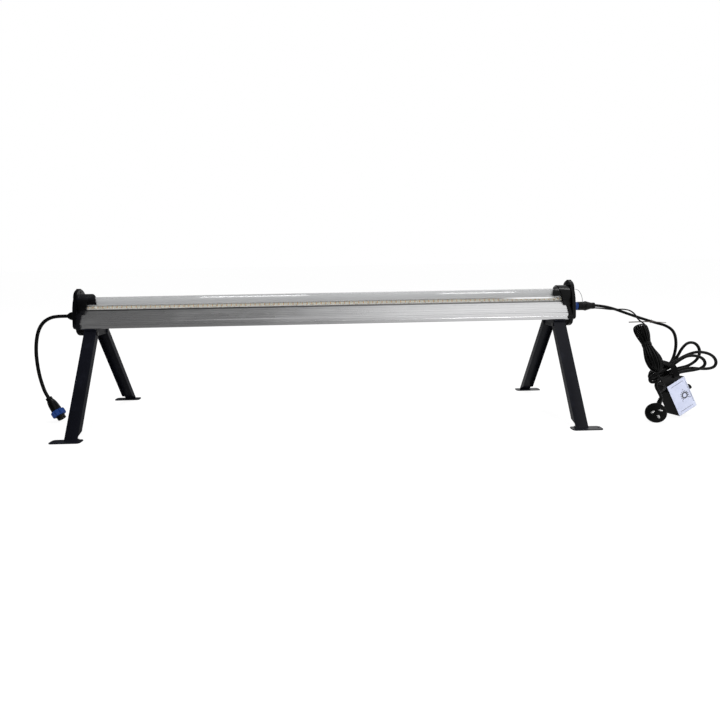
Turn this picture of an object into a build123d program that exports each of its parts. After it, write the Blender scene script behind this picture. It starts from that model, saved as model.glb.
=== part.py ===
"""Under-canopy LED grow light: a ribbed aluminium bar that shines upward, on two folding A-frame stands.

Millimetres. +X runs along the bar, +Y towards its back, +Z up. The origin is on the floor under the bar's
middle. The output lead leaves the left end (-X); the mains lead, with its plug and a dimmer on a thin
control cord, is plugged into the right end (+X).
"""
from build123d import *
import math
import os

os.makedirs("parts", exist_ok=True)


def save(node, name):
    """Label one finished piece and write it under its node name."""
    node.part.label = name
    export_step(node.part, f"parts/{name}.step")


# ---------------------------------------------------------------- driving dimensions
OVERALL = 1160.0          # between the outer faces of the end plates
BAR_BOTTOM = 221.0        # height of the bar's underside over the floor
BAR_WIDTH = 77.0
SHOULDER = 228.0          # where the vertical foot of the bar turns into the sloping side
DECK_EDGE = 263.0         # top of the sloping side
DECK_HALF = 20.5
WALL = 2.4

PLATE = 8.0               # end plate thickness
GASKET = 1.5
PLATE_OUT = OVERALL / 2
PLATE_IN = PLATE_OUT - PLATE
BAR_HALF = PLATE_IN - GASKET
PORT = 248.0              # height of the cord ports in the end plates

LENS_HALF = 19.1
LENS_WALL = 1.8
LENS_SPRING = 271.8       # where the lens walls turn into the round top
LENS_FOOT = 260.4

STAND_X = 543.7
LEG_WIDTH = 28.0
SHEET = 1.5
LEG_ANGLE = 34.0
FOOT_Y = 180.0
FOOT_SHIFT = 8.7          # the foot plates stand out past the legs, away from the middle
FOOT = (66.0, 25.0, 2.0)
PIN_Y, PIN_Z = 30.3, 208.5
PIN_R = 2.5
RUNNING = 0.05            # radial clearance of a turning fit

MAINS_R = 3.25
CONTROL_R = 1.6
OUTPUT_R = 4.0


def both_sides(half):
    """Close a half outline, given as (y, z) with y >= 0, with its mirror image."""
    return half + [(-y, z) for y, z in reversed(half)]


# ---------------------------------------------------------------- bar
slope = (DECK_HALF - BAR_WIDTH / 2, DECK_EDGE - SHOULDER)
slope_length = math.hypot(*slope)
slope_dir = (slope[0] / slope_length, slope[1] / slope_length)
slope_angle = math.degrees(math.atan2(slope[1], slope[0]))

RIDGE_FOOT = (13.6, 262.0)
RIDGE_TOP = (6.8, 272.0)
GROOVE = (17.0, 19.4, 260.2)   # lens groove: inner edge, outer edge, floor

bar_half_outline = [
    (BAR_WIDTH / 2 - 1.2, BAR_BOTTOM),
    (BAR_WIDTH / 2, BAR_BOTTOM + 1.2),
    (BAR_WIDTH / 2, SHOULDER),
    (DECK_HALF, DECK_EDGE),
    (GROOVE[1], DECK_EDGE),
    (GROOVE[1], GROOVE[2]),
    (GROOVE[0], GROOVE[2]),
    (GROOVE[0], RIDGE_FOOT[1]),
    RIDGE_FOOT,
    RIDGE_TOP,
]
CAVITY_TOP = 258.0
cavity_half_outline = [
    (BAR_WIDTH / 2 - WALL - 0.2, BAR_BOTTOM + WALL),
    (BAR_WIDTH / 2 - WALL, SHOULDER),
    (BAR_WIDTH / 2 - WALL - (CAVITY_TOP - SHOULDER) * -slope[0] / slope[1], CAVITY_TOP),
]
SCREW_PORTS = [(32.4, 226.8), (-32.4, 226.8), (15.5, 254.8), (-15.5, 254.8)]
SCREW_R = 1.55
STAND_BOLTS = [(x, y) for x in (-STAND_X, STAND_X) for y in (-14.0, 14.0)]
BOLT_R = 2.5
# grooves along the sloping sides: distance up the slope, width, depth
RIBS = [(1.6, 0.9, 0.7), (3.8, 0.7, 0.5), (6.0, 0.7, 0.5), (9.6, 1.2, 0.8), (14.2, 0.6, 0.4),
        (18.8, 0.6, 0.4), (23.4, 0.6, 0.4), (28.0, 0.6, 0.4), (32.0, 1.2, 0.8), (34.6, 0.7, 0.5),
        (37.0, 0.9, 0.7)]

with BuildPart() as heatsink_extrusion:
    with BuildSketch(Plane.YZ.offset(-BAR_HALF)):
        Polygon(*both_sides(bar_half_outline), align=None)
        Polygon(*both_sides(cavity_half_outline), align=None, mode=Mode.SUBTRACT)
        with Locations(*SCREW_PORTS):
            Circle(3.8)
        with Locations(*SCREW_PORTS):
            Circle(SCREW_R + RUNNING, mode=Mode.SUBTRACT)
        for station, width, depth in RIBS:
            y = BAR_WIDTH / 2 + slope_dir[0] * station
            z = SHOULDER + slope_dir[1] * station
            with Locations((y, z)):
                Rectangle(width, 2 * depth, rotation=slope_angle, mode=Mode.SUBTRACT)
            with Locations((-y, z)):
                Rectangle(width, 2 * depth, rotation=-slope_angle, mode=Mode.SUBTRACT)
    extrude(amount=2 * BAR_HALF)
    with BuildSketch(Plane.XY.offset(BAR_BOTTOM)):
        with Locations(*STAND_BOLTS):
            Circle(BOLT_R + RUNNING)
    extrude(amount=WALL, mode=Mode.SUBTRACT)
save(heatsink_extrusion, "heatsink_extrusion")

# ---------------------------------------------------------------- lens over the light boards
with BuildPart() as lens_cover:
    with BuildSketch(Plane.YZ.offset(-BAR_HALF + 1)):
        with Locations((0, LENS_SPRING)):
            Circle(LENS_HALF)
            Circle(LENS_HALF - LENS_WALL, mode=Mode.SUBTRACT)
        with Locations((0, LENS_SPRING)):
            Rectangle(3 * LENS_HALF, 2 * LENS_HALF, align=(Align.CENTER, Align.MAX), mode=Mode.SUBTRACT)
        wall_height = LENS_SPRING - LENS_FOOT
        wall_middle = LENS_HALF - LENS_WALL / 2
        with Locations((wall_middle, LENS_FOOT + wall_height / 2), (-wall_middle, LENS_FOOT + wall_height / 2)):
            Rectangle(LENS_WALL, wall_height)
    extrude(amount=2 * (BAR_HALF - 1))
save(lens_cover, "lens_cover")

# ---------------------------------------------------------------- light boards on the ridge
ridge = (RIDGE_TOP[0] - RIDGE_FOOT[0], RIDGE_TOP[1] - RIDGE_FOOT[1])
ridge_length = math.hypot(*ridge)
ridge_dir = (ridge[0] / ridge_length, ridge[1] / ridge_length)
ridge_out = (ridge_dir[1], -ridge_dir[0])
BOARD_WIDTH = 11.0
BOARD = 1.5
BOARD_HALF = BAR_HALF - 4


def on_ridge(along, out):
    """A point (y, z) on the ridge's slope, measured up from its foot and out from its face."""
    return (RIDGE_FOOT[0] + ridge_dir[0] * along + ridge_out[0] * out,
            RIDGE_FOOT[1] + ridge_dir[1] * along + ridge_out[1] * out)


board_start = (ridge_length - BOARD_WIDTH) / 2
board_outline = [on_ridge(board_start, 0), on_ridge(board_start + BOARD_WIDTH, 0),
                 on_ridge(board_start + BOARD_WIDTH, BOARD), on_ridge(board_start, BOARD)]
for side, board_name in ((-1, "led_board_front"), (1, "led_board_back")):
    with BuildPart() as led_board:
        with BuildSketch(Plane.YZ.offset(-BOARD_HALF)):
            Polygon(*[(side * y, z) for y, z in board_outline], align=None)
        extrude(amount=2 * BOARD_HALF)
    save(led_board, board_name)

CHIP = (3.0, 5.6, 0.8)
CHIP_PITCH = 11.0
CHIPS = 102               # of each colour on each board
chip_y, chip_z = on_ridge(ridge_length / 2, BOARD)
for chip_name, chip_shift in (("led_chips_white", -CHIP_PITCH / 4), ("led_chips_warm", CHIP_PITCH / 4)):
    with BuildPart() as led_chips:
        for side in (-1, 1):
            face = Plane(origin=(chip_shift, side * chip_y, chip_z), x_dir=(1, 0, 0),
                         z_dir=(0, side * ridge_out[0], ridge_out[1]))
            with BuildSketch(face):
                with GridLocations(CHIP_PITCH, 0, CHIPS, 1):
                    Rectangle(CHIP[0], CHIP[1])
            extrude(amount=CHIP[2])
    save(led_chips, chip_name)

# ---------------------------------------------------------------- driver inside the bar
DRIVER_X = 410.0
DRIVER = (220.0, 48.0, 1.6)
DRIVER_Z = 228.0
CAVITY_FLOOR = BAR_BOTTOM + WALL
INSULATOR = 0.5
with BuildPart() as driver_insulator:
    with BuildSketch(Plane.XY.offset(CAVITY_FLOOR)):
        with Locations((DRIVER_X, 0)):
            Rectangle(DRIVER[0] + 16, 56)
    extrude(amount=INSULATOR)
save(driver_insulator, "driver_insulator")

with BuildPart() as driver_board:
    with BuildSketch(Plane.XY.offset(DRIVER_Z)):
        with Locations((DRIVER_X, 0)):
            Rectangle(DRIVER[0], DRIVER[1])
    extrude(amount=DRIVER[2])
save(driver_board, "driver_board")

with BuildPart() as driver_parts:
    with BuildSketch(Plane.XY.offset(CAVITY_FLOOR + INSULATOR)):
        with Locations((DRIVER_X, 0)):
            with GridLocations(DRIVER[0] - 16, DRIVER[1] - 12, 2, 2):
                Circle(3)
    extrude(amount=DRIVER_Z - CAVITY_FLOOR - INSULATOR)
    with BuildSketch(Plane.XY.offset(DRIVER_Z + DRIVER[2])):
        with Locations((DRIVER_X - 10, 0)):
            Rectangle(30, 26)
        with Locations((DRIVER_X + 60, 6), (DRIVER_X + 84, -6)):
            Rectangle(15, 18)
    extrude(amount=18)
    with BuildSketch(Plane.XY.offset(DRIVER_Z + DRIVER[2])):
        with Locations((DRIVER_X - 80, -8), (DRIVER_X - 56, 9), (DRIVER_X + 32, -9)):
            Circle(9)
    extrude(amount=20)
save(driver_parts, "driver_parts")

# ---------------------------------------------------------------- end caps
COLLAR_X = (546.0, 556.0)          # inner end of the collar at its top, and just above the step
COLLAR_LOW_X = (562.0, 565.0)      # and below the step: just under it, and at the foot
BULGE_X = 562.0
STEP_Z = 254.0
SLEEVE_X = 528.0          # inner end of the sleeve over the lens
SLEEVE_R = 25.2
SLANT = 27.0              # how much shorter the sleeve is at the back
COLLAR_R = 27.0
FIT = 0.15
EAR_TOP, EAR_TOP_R = 302.4, 8.8
EAR_LOW, EAR_LOW_R = 210.2, 8.6
EAR_HOLE = 2.6

ARCH_TOP = (289.0, 24.0, 20.5)      # centre's height, half width, half height
ARCH_LOW = (218.0, 25.5, 16.0)
plate_half_outline = [(25.0, 218.0), (38.0, 222.6), (40.8, 227.0), (40.0, 234.0), (37.5, 250.0),
                      (33.5, 270.0), (28.6, 283.0), (23.8, 290.5)]
collar_low_outline = [(40.0, 218.8), (41.2, 220.2), (41.2, 229.0), (27.8, STEP_Z), (27.8, STEP_Z + 2)]
collar_high_outline = [(27.8, STEP_Z), (25.6, 264.0), (COLLAR_R, LENS_SPRING)]
bar_filled_outline = [(BAR_WIDTH / 2 + FIT, BAR_BOTTOM - FIT), (BAR_WIDTH / 2 + FIT, SHOULDER),
                      (DECK_HALF + 2 * FIT, DECK_EDGE + FIT)]
LENS_GAP = 0.5

# the collar's inner ends slant outwards towards the bar's foot
with BuildPart() as collar_high:
    with BuildSketch(Plane.YZ.offset(COLLAR_X[0])):
        Polygon(*both_sides(collar_high_outline), align=None)
        with Locations((0, LENS_SPRING)):
            Circle(COLLAR_R)
    extrude(amount=PLATE_IN - COLLAR_X[0])
    with BuildSketch(Plane.XZ.offset(-COLLAR_R - 5)):
        Polygon((COLLAR_X[0] - 1, 238), (COLLAR_X[1] + 2, 238), (COLLAR_X[1], STEP_Z), (COLLAR_X[0], 290),
                (COLLAR_X[0] - 1, 290), align=None)
    extrude(amount=2 * COLLAR_R + 10, mode=Mode.SUBTRACT)

with BuildPart() as collar_low:
    with BuildSketch(Plane.YZ.offset(COLLAR_LOW_X[0])):
        Polygon(*both_sides(collar_low_outline), align=None)
    extrude(amount=PLATE_IN - COLLAR_LOW_X[0])
    with BuildSketch(Plane.XZ.offset(-BAR_WIDTH / 2 - 5)):
        Polygon((COLLAR_LOW_X[0] - 1, 216), (COLLAR_LOW_X[1], 216), (COLLAR_LOW_X[1], 229),
                (COLLAR_LOW_X[0], STEP_Z + 3), (COLLAR_LOW_X[0] - 1, STEP_Z + 3), align=None)
    extrude(amount=BAR_WIDTH + 10, mode=Mode.SUBTRACT)

with BuildPart() as end_cap_right:
    # sleeve over the lens, cut at a slant so that it covers more of the lens at the front
    with BuildSketch(Plane.YZ.offset(SLEEVE_X)):
        with Locations((0, LENS_SPRING)):
            Circle(SLEEVE_R)
        with Locations((0, LENS_SPRING + 3.2)):
            Rectangle(3 * SLEEVE_R, 2 * SLEEVE_R, align=(Align.CENTER, Align.MAX), mode=Mode.SUBTRACT)
    extrude(amount=PLATE_IN - SLEEVE_X)
    with BuildSketch(Plane.XY.offset(LENS_SPRING)):
        Polygon((SLEEVE_X - 1, -SLEEVE_R - 1), (SLEEVE_X, -SLEEVE_R), (SLEEVE_X + SLANT, SLEEVE_R),
                (SLEEVE_X + SLANT, SLEEVE_R + 1), (SLEEVE_X - 1, SLEEVE_R + 1), align=None)
    extrude(amount=SLEEVE_R + 1, mode=Mode.SUBTRACT)
    # collar round the bar's end, with a bulge at each lower corner
    add(collar_high.part)
    add(collar_low.part)
    with BuildSketch(Plane.YZ.offset(BULGE_X)):
        with Locations((38.6, 226.6), (-38.6, 226.6)):
            Circle(4.6)
    extrude(amount=PLATE_IN - BULGE_X)
    # room for the bar, the gasket and the lens
    with BuildSketch(Plane.YZ.offset(SLEEVE_X - 1)):
        Polygon(*both_sides(bar_filled_outline), align=None)
    extrude(amount=PLATE_IN - SLEEVE_X + 1, mode=Mode.SUBTRACT)
    with BuildSketch(Plane.YZ.offset(SLEEVE_X - 1)):
        with Locations((0, LENS_SPRING)):
            Circle(LENS_HALF + LENS_GAP)
            Rectangle(2 * (LENS_HALF + LENS_GAP), LENS_SPRING - DECK_EDGE + 2,
                      align=(Align.CENTER, Align.MAX))
    extrude(amount=PLATE_IN - SLEEVE_X + 1, mode=Mode.SUBTRACT)
    # end plate with its two ears
    with BuildSketch(Plane.YZ.offset(PLATE_IN)):
        Polygon(*both_sides(plate_half_outline), align=None)
        for arch_height, arch_half_width, arch_half_height in (ARCH_TOP, ARCH_LOW):
            with Locations((0, arch_height)):
                Ellipse(arch_half_width, arch_half_height)
        with Locations((0, EAR_TOP)):
            Circle(EAR_TOP_R)
        with Locations((0, EAR_LOW)):
            Circle(EAR_LOW_R)
        with Locations((0, EAR_TOP), (0, EAR_LOW)):
            Circle(EAR_HOLE, mode=Mode.SUBTRACT)
        with Locations((0, PORT)):
            Circle(7.5 + RUNNING, mode=Mode.SUBTRACT)
        with Locations(*SCREW_PORTS):
            Circle(SCREW_R + 0.2, mode=Mode.SUBTRACT)
    extrude(amount=PLATE)
    with BuildSketch(Plane.YZ.offset(PLATE_OUT - 2.4)):
        with Locations(*SCREW_PORTS):
            Circle(3.7)
    extrude(amount=2.4, mode=Mode.SUBTRACT)
    outer_rim = end_cap_right.edges().group_by(Axis.X)[-1].filter_by(GeomType.LINE)
    chamfer(outer_rim, 0.8)
save(end_cap_right, "end_cap_right")

with BuildPart() as end_cap_left:
    mirror(end_cap_right.part, about=Plane.YZ)
save(end_cap_left, "end_cap_left")

gasket_window = [(20.0, BAR_BOTTOM + 8.0), (14.0, 240.0), (13.0, 257.5)]
with BuildPart() as end_gasket_right:
    with BuildSketch(Plane.YZ.offset(BAR_HALF)):
        Polygon((BAR_WIDTH / 2 - 1, BAR_BOTTOM + 0.5), (BAR_WIDTH / 2 - 1, SHOULDER), (DECK_HALF - 0.5, 262.5),
                (0.5 - DECK_HALF, 262.5), (1 - BAR_WIDTH / 2, SHOULDER), (1 - BAR_WIDTH / 2, BAR_BOTTOM + 0.5),
                align=None)
        Polygon(*both_sides(gasket_window), align=None, mode=Mode.SUBTRACT)
        with Locations(*SCREW_PORTS):
            Circle(SCREW_R + 0.1, mode=Mode.SUBTRACT)
    extrude(amount=GASKET)
save(end_gasket_right, "end_gasket_right")

with BuildPart() as end_gasket_left:
    mirror(end_gasket_right.part, about=Plane.YZ)
save(end_gasket_left, "end_gasket_left")

SCREW_LENGTH = 22.0
with BuildPart() as end_cap_screws:
    for end in (-1, 1):
        seat = Plane(origin=(end * (PLATE_OUT - 0.2), 0, 0), x_dir=(0, 1, 0), z_dir=(end, 0, 0))
        with BuildSketch(seat):
            with Locations(*[(y, end * z) for y, z in SCREW_PORTS]):
                Circle(3.4)
        extrude(amount=-2.2)
        with BuildSketch(seat.offset(-2.2)):
            with Locations(*[(y, end * z) for y, z in SCREW_PORTS]):
                Circle(SCREW_R)
        extrude(amount=-SCREW_LENGTH)
        with BuildSketch(seat):
            with Locations(*[(y, end * z) for y, z in SCREW_PORTS]):
                Rectangle(3.6, 0.7)
                Rectangle(0.7, 3.6)
        extrude(amount=-1.0, mode=Mode.SUBTRACT)
save(end_cap_screws, "end_cap_screws")

BOARD_SCREW_PITCH = 77.0
with BuildPart() as board_screws:
    for side in (-1, 1):
        face = Plane(origin=(0, side * chip_y, chip_z), x_dir=(1, 0, 0),
                     z_dir=(0, side * ridge_out[0], ridge_out[1]))
        with BuildSketch(face):
            with Locations((0, -3.6)):
                with GridLocations(BOARD_SCREW_PITCH, 0, 15, 1):
                    Circle(0.9)
        extrude(amount=0.6)
save(board_screws, "board_screws")

# ---------------------------------------------------------------- stands
sin_leg, cos_leg = math.sin(math.radians(LEG_ANGLE)), math.cos(math.radians(LEG_ANGLE))
WEB_OUT = 7.5             # the web's outer face, measured out from the hinge pin
FLANGE_IN = -6.5
LEG_TOP = 218.2
BRACKET = 2.5
BRACKET_WIDTH = LEG_WIDTH - 2 * SHEET - 0.6


def on_leg(along, out):
    """A point (y, z) on the back leg, along it from the hinge pin and out from the pin's line."""
    return (PIN_Y + sin_leg * along + cos_leg * out, PIN_Z - cos_leg * along + sin_leg * out)


def leg_reach(height, out):
    """How far along the leg a given height lies, on the line that is this far out."""
    return (PIN_Z + sin_leg * out - height) / cos_leg


web_in = WEB_OUT - SHEET
web_outline = [on_leg(leg_reach(LEG_TOP, WEB_OUT), WEB_OUT), on_leg(leg_reach(FOOT[2], WEB_OUT), WEB_OUT),
               on_leg(leg_reach(FOOT[2], web_in), web_in), on_leg(leg_reach(LEG_TOP, web_in), web_in)]
sole_y = web_outline[1][0]
tab_outline = [(sole_y, FOOT[2]), (sole_y - 10.5, FOOT[2]), (sole_y - 10.5, FOOT[2] + SHEET),
               (sole_y - 0.5, FOOT[2] + SHEET)]
flange_outline = [on_leg(-3, web_in + 0.1), on_leg(244, web_in + 0.1), on_leg(229, FLANGE_IN), on_leg(4, FLANGE_IN)]

for end, end_name in ((-1, "left"), (1, "right")):
    middle = end * STAND_X
    with BuildPart() as stand_bracket:
        with BuildSketch(Plane.XY.offset(BAR_BOTTOM - BRACKET)):
            with Locations((middle, 0)):
                Rectangle(BRACKET_WIDTH, 76)
        extrude(amount=BRACKET)
        with BuildSketch(Plane.YZ.offset(middle - BRACKET_WIDTH / 2)):
            with Locations((0, BAR_BOTTOM - BRACKET)):
                Rectangle(54, 15.5, align=(Align.CENTER, Align.MAX))
            with Locations((-PIN_Y, PIN_Z), (PIN_Y, PIN_Z)):
                Circle(5.5)
            with Locations((-PIN_Y, PIN_Z), (PIN_Y, PIN_Z)):
                Circle(PIN_R + 0.02, mode=Mode.SUBTRACT)
        extrude(amount=BRACKET_WIDTH)
        with BuildSketch(Plane.YZ.offset(middle - BRACKET_WIDTH / 2 + SHEET)):
            with Locations((0, BAR_BOTTOM - BRACKET)):
                Rectangle(90, 30, align=(Align.CENTER, Align.MAX))
        extrude(amount=BRACKET_WIDTH - 2 * SHEET, mode=Mode.SUBTRACT)
        with BuildSketch(Plane.XY.offset(BAR_BOTTOM - BRACKET)):
            with Locations((middle, -14), (middle, 14)):
                Circle(BOLT_R + RUNNING)
        extrude(amount=BRACKET, mode=Mode.SUBTRACT)
    save(stand_bracket, f"stand_bracket_{end_name}")

    for side, side_name in ((-1, "front"), (1, "back")):
        with BuildPart() as leg:
            with BuildSketch(Plane.YZ.offset(middle - LEG_WIDTH / 2)):
                Polygon(*[(side * y, z) for y, z in web_outline], align=None)
                Polygon(*[(side * y, z) for y, z in tab_outline], align=None)
            extrude(amount=LEG_WIDTH)
            for flange_x in (middle - LEG_WIDTH / 2, middle + LEG_WIDTH / 2 - SHEET):
                with BuildSketch(Plane.YZ.offset(flange_x)):
                    Polygon(*[(side * y, z) for y, z in flange_outline], align=None)
                    with Locations((side * PIN_Y, PIN_Z)):
                        Circle(6.3)
                        Circle(PIN_R + RUNNING, mode=Mode.SUBTRACT)
                extrude(amount=SHEET)
        save(leg, f"leg_{side_name}_{end_name}")

        with BuildPart() as foot:
            with BuildSketch(Plane.XY):
                with Locations((middle + end * FOOT_SHIFT, side * FOOT_Y)):
                    RectangleRounded(FOOT[0], FOOT[1], 7)
                    with GridLocations(52, 0, 2, 1):
                        Circle(2.2, mode=Mode.SUBTRACT)
            extrude(amount=FOOT[2])
        save(foot, f"foot_{side_name}_{end_name}")

with BuildPart() as hinge_pins:
    for end in (-1, 1):
        for side in (-1, 1):
            for start, length, radius in ((-LEG_WIDTH / 2 - 0.3, LEG_WIDTH + 0.6, PIN_R),
                                          (-LEG_WIDTH / 2 - 1.8, 1.5, 4.2), (LEG_WIDTH / 2 + 0.3, 1.5, 4.2)):
                with BuildSketch(Plane.YZ.offset(end * STAND_X + start)):
                    with Locations((side * PIN_Y, PIN_Z)):
                        Circle(radius)
                extrude(amount=length)
save(hinge_pins, "hinge_pins")

with BuildPart() as stand_bolts:
    with BuildSketch(Plane.XY.offset(BAR_BOTTOM - BRACKET - 2.6)):
        with Locations(*STAND_BOLTS):
            Circle(4.6)
            RegularPolygon(2.4, 6, mode=Mode.SUBTRACT)
    extrude(amount=2.6)
    with BuildSketch(Plane.XY.offset(BAR_BOTTOM - BRACKET)):
        with Locations(*STAND_BOLTS):
            Circle(BOLT_R)
    extrude(amount=BRACKET + WALL + 4.6)
save(stand_bolts, "stand_bolts")

with BuildPart() as stand_nuts:
    with BuildSketch(Plane.XY.offset(CAVITY_FLOOR)):
        with Locations(*STAND_BOLTS):
            RegularPolygon(4.6, 6)
            Circle(BOLT_R + RUNNING, mode=Mode.SUBTRACT)
    extrude(amount=4)
save(stand_nuts, "stand_nuts")

# ---------------------------------------------------------------- ports in the end plates
right_port = Plane(origin=(PLATE_OUT, 0, PORT), x_dir=(1, 0, 0), z_dir=(0, -1, 0))
left_port = Plane(origin=(-PLATE_OUT, 0, PORT), x_dir=(-1, 0, 0), z_dir=(0, 1, 0))
port_axis = Axis((0, 0, PORT), (1, 0, 0))

with BuildPart() as inlet_socket:
    with BuildSketch(right_port):
        Polygon((-15, 0), (-15, 7.5), (0, 7.5), (0, 10.6), (2.6, 10.6), (2.6, 8.2), (12, 8.2), (12, 0),
                align=None)
    revolve(axis=port_axis)
save(inlet_socket, "inlet_socket")

with BuildPart() as inlet_pins:
    with BuildSketch(Plane.YZ.offset(PLATE_OUT - 21)):
        with Locations((0, PORT)):
            with PolarLocations(4, 3):
                Circle(0.9)
    extrude(amount=6)
save(inlet_pins, "inlet_pins")

with BuildPart() as output_gland:
    with BuildSketch(left_port):
        Polygon((-15, 0), (-15, 7.5), (0, 7.5), (0, 10.2), (3, 10.2), (3, 9.5), (18.5, 9.5), (22, 8.2),
                (25, 6.2), (27, 4.8), (27, 0), align=None)
    revolve(axis=port_axis)
save(output_gland, "output_gland")

with BuildPart() as panel_nuts:
    for start in (PLATE_IN - 5, -PLATE_IN):
        with BuildSketch(Plane.YZ.offset(start)):
            with Locations((0, PORT)):
                RegularPolygon(9.6, 6)
                Circle(7.5 + RUNNING, mode=Mode.SUBTRACT)
        extrude(amount=5)
save(panel_nuts, "panel_nuts")

# ---------------------------------------------------------------- mating connector at the right end
RING_LENGTH = 15.4
with BuildPart() as input_lock_ring:
    with BuildSketch(Plane.YZ.offset(PLATE_OUT + 3.2)):
        with Locations((0, PORT)):
            Circle(9.9)
            with PolarLocations(9.9, 18):
                Circle(0.6, mode=Mode.SUBTRACT)
            Circle(8.2 + RUNNING, mode=Mode.SUBTRACT)
    extrude(amount=RING_LENGTH)
save(input_lock_ring, "input_lock_ring")

with BuildPart() as input_connector:
    with BuildSketch(right_port):
        Polygon((12, 0), (12, 8.2), (19, 8.2), (19, 10.2), (34, 10.2), (37, 11.4), (39, 11.4), (52, 7.8),
                (52, 0), align=None)
    revolve(axis=port_axis)
save(input_connector, "input_connector")

with BuildPart() as input_strain_nut:
    with BuildSketch(Plane.YZ.offset(PLATE_OUT + 52)):
        with Locations((0, PORT)):
            Circle(7.6)
            with PolarLocations(7.8, 10):
                Circle(0.7, mode=Mode.SUBTRACT)
    extrude(amount=8)
save(input_strain_nut, "input_strain_nut")

# ---------------------------------------------------------------- cords
def runs_of(points):
    return [Vector(*b) - Vector(*a) for a, b in zip(points, points[1:])]


def corner_radii(points):
    """Each corner's arc: 0.45 of its shorter run over the tangent of half its turn."""
    runs = runs_of(points)
    radii = []
    for before, after in zip(runs, runs[1:]):
        half_turn = math.radians(before.get_angle(after)) / 2
        radii.append(0.45 * min(before.length, after.length) / math.tan(half_turn))
    return radii


def cord_tube(points, radius, name):
    """Sweep a cord's round section along straight runs joined by tangent arcs."""
    radii = corner_radii(points)
    with BuildPart() as tube:
        with BuildLine() as path:
            FilletPolyline(*points, radius=radii)
        with BuildSketch(Plane(origin=points[0], z_dir=runs_of(points)[0])):
            Circle(radius)
        sweep(path=path.wires()[0])
    length = path.wires()[0].length
    ratio = tube.part.volume / (math.pi * radius ** 2 * length)
    print(f"{name}: length {length:.0f}, volume ratio {ratio:.3f}, radii",
          " ".join(f"{r:.0f}" for r in radii))
    save(tube, name)


OUTPUT_ROUTE = [
    (-607, 0, 248), (-624, 0, 248.5), (-645, -3, 246.5), (-662, -6.5, 236), (-673, -9, 219), (-680, -10, 196),
    (-684, -10.5, 168), (-685, -10, 139), (-683.5, -8.5, 110), (-680, -6, 84), (-675.6, -5.5, 66.1),
    (-668, -8.3, 54.9),
]
MAINS_ROUTE = [
    (640, 0, 249), (660, -1, 247), (684, -6, 241), (712, -14, 230), (741, -24, 219), (769, -38, 209),
    (790, -50, 203), (804, -59, 190), (805.5, -68, 166), (800, -75, 143), (792, -79, 124),
    # into the strap, first fold, out to the upper loop
    (778, -83, 108), (760, -87, 95), (742, -87, 86.4), (735, -87, 101), (757, -88, 112), (777, -91, 119),
    (793, -94, 134), (801, -95, 155), (814, -96, 170), (832, -97, 168), (843, -98, 151), (839, -99, 131),
    (819, -99, 116), (795, -98, 111),
    # second fold, out to the long loop
    (777, -97, 105), (756, -97, 92), (735, -97, 83), (728, -97, 98), (750, -98, 109), (771, -99, 115),
    (791, -104, 134), (822, -108, 150), (849, -109, 148), (867, -109, 139), (877, -108, 126), (874, -107, 114.5),
    (861, -107, 110), (843, -107, 110), (819, -107, 113), (799, -107, 111),
    # third fold, out to the middle loop
    (779, -107, 103), (757, -107, 91), (731, -107, 78), (723.5, -107, 92), (744, -108, 104), (765, -110, 113),
    (780, -115, 129), (799, -118, 143), (822, -118, 143), (839, -118, 135), (844.5, -118, 122), (833, -119, 113),
    (811, -120, 109.5), (789, -120, 107),
    # back under the strap and down to the plug
    (769, -120, 100), (750, -121, 94), (734.5, -123, 89), (727.5, -128, 78), (733, -133, 66), (738.1, -136.2, 53.1),
]
CONTROL_ROUTE = [
    (640, 0, 242.8), (656, -3, 242), (671, -8, 239.5), (686, -14, 239), (700, -20, 240.5), (714, -26, 238),
    (723, -34, 229.5), (724, -45, 218), (721.5, -54.5, 208),
]
CONTROL_END_ROUTE = [
    (729, -134, 105.4), (730.4, -141.5, 96), (735.5, -145, 85.5), (742, -141, 76), (745, -131.5, 68.5),
    (744, -121, 61.5), (748, -112, 53.5), (758.3, -108.5, 56.7),
]

cord_tube(OUTPUT_ROUTE, OUTPUT_R, "output_cord")
cord_tube(MAINS_ROUTE, MAINS_R, "mains_cord")
cord_tube(CONTROL_ROUTE, CONTROL_R, "control_cord")
cord_tube(CONTROL_END_ROUTE, CONTROL_R, "control_cord_end")

# the rest of the control cord, folded into a hank that is tied at its waist
HANK_TOP = Vector(*CONTROL_ROUTE[-1])
HANK_END = Vector(*CONTROL_END_ROUTE[0])
hank_length = (HANK_END - HANK_TOP).length
hank_plane = Plane(origin=HANK_TOP, x_dir=HANK_END - HANK_TOP, z_dir=(HANK_END - HANK_TOP).cross(Vector(0, 1, 0)))
hank_axis = Axis(HANK_TOP, HANK_END - HANK_TOP)
WAIST = (50.0, 60.0)
WAIST_R = 9.2
with BuildPart() as control_hank:
    with BuildSketch(hank_plane):
        Polygon((0, 0), (0, 8), (6, 14), (17, 17), (35, 15.4), (WAIST[0], WAIST_R), (WAIST[1], WAIST_R),
                (70, 13.5), (88, 18), (103, 16.5), (hank_length - 6, 10), (hank_length, 7), (hank_length, 0),
                align=None)
    revolve(axis=hank_axis)
save(control_hank, "control_hank")

with BuildPart() as hank_tie:
    with BuildSketch(hank_plane):
        Polygon((WAIST[0] + 1.5, WAIST_R), (WAIST[0] + 1.5, WAIST_R + 1.2), (WAIST[1] - 1.5, WAIST_R + 1.2),
                (WAIST[1] - 1.5, WAIST_R), align=None)
    revolve(axis=hank_axis)
save(hank_tie, "hank_tie")

# ---------------------------------------------------------------- output connector, resting on the floor
output_plug = Plane(origin=OUTPUT_ROUTE[-1], x_dir=(0.55, -0.2, -0.811), z_dir=(0.8276, 0, 0.5613))
output_axis = Axis(output_plug.origin, output_plug.x_dir)
OUTPUT_LENGTH = 60.0
OUTPUT_FLOOR = 49.0       # where the socket's floor is
SOCKET_R = 7.6

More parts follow.
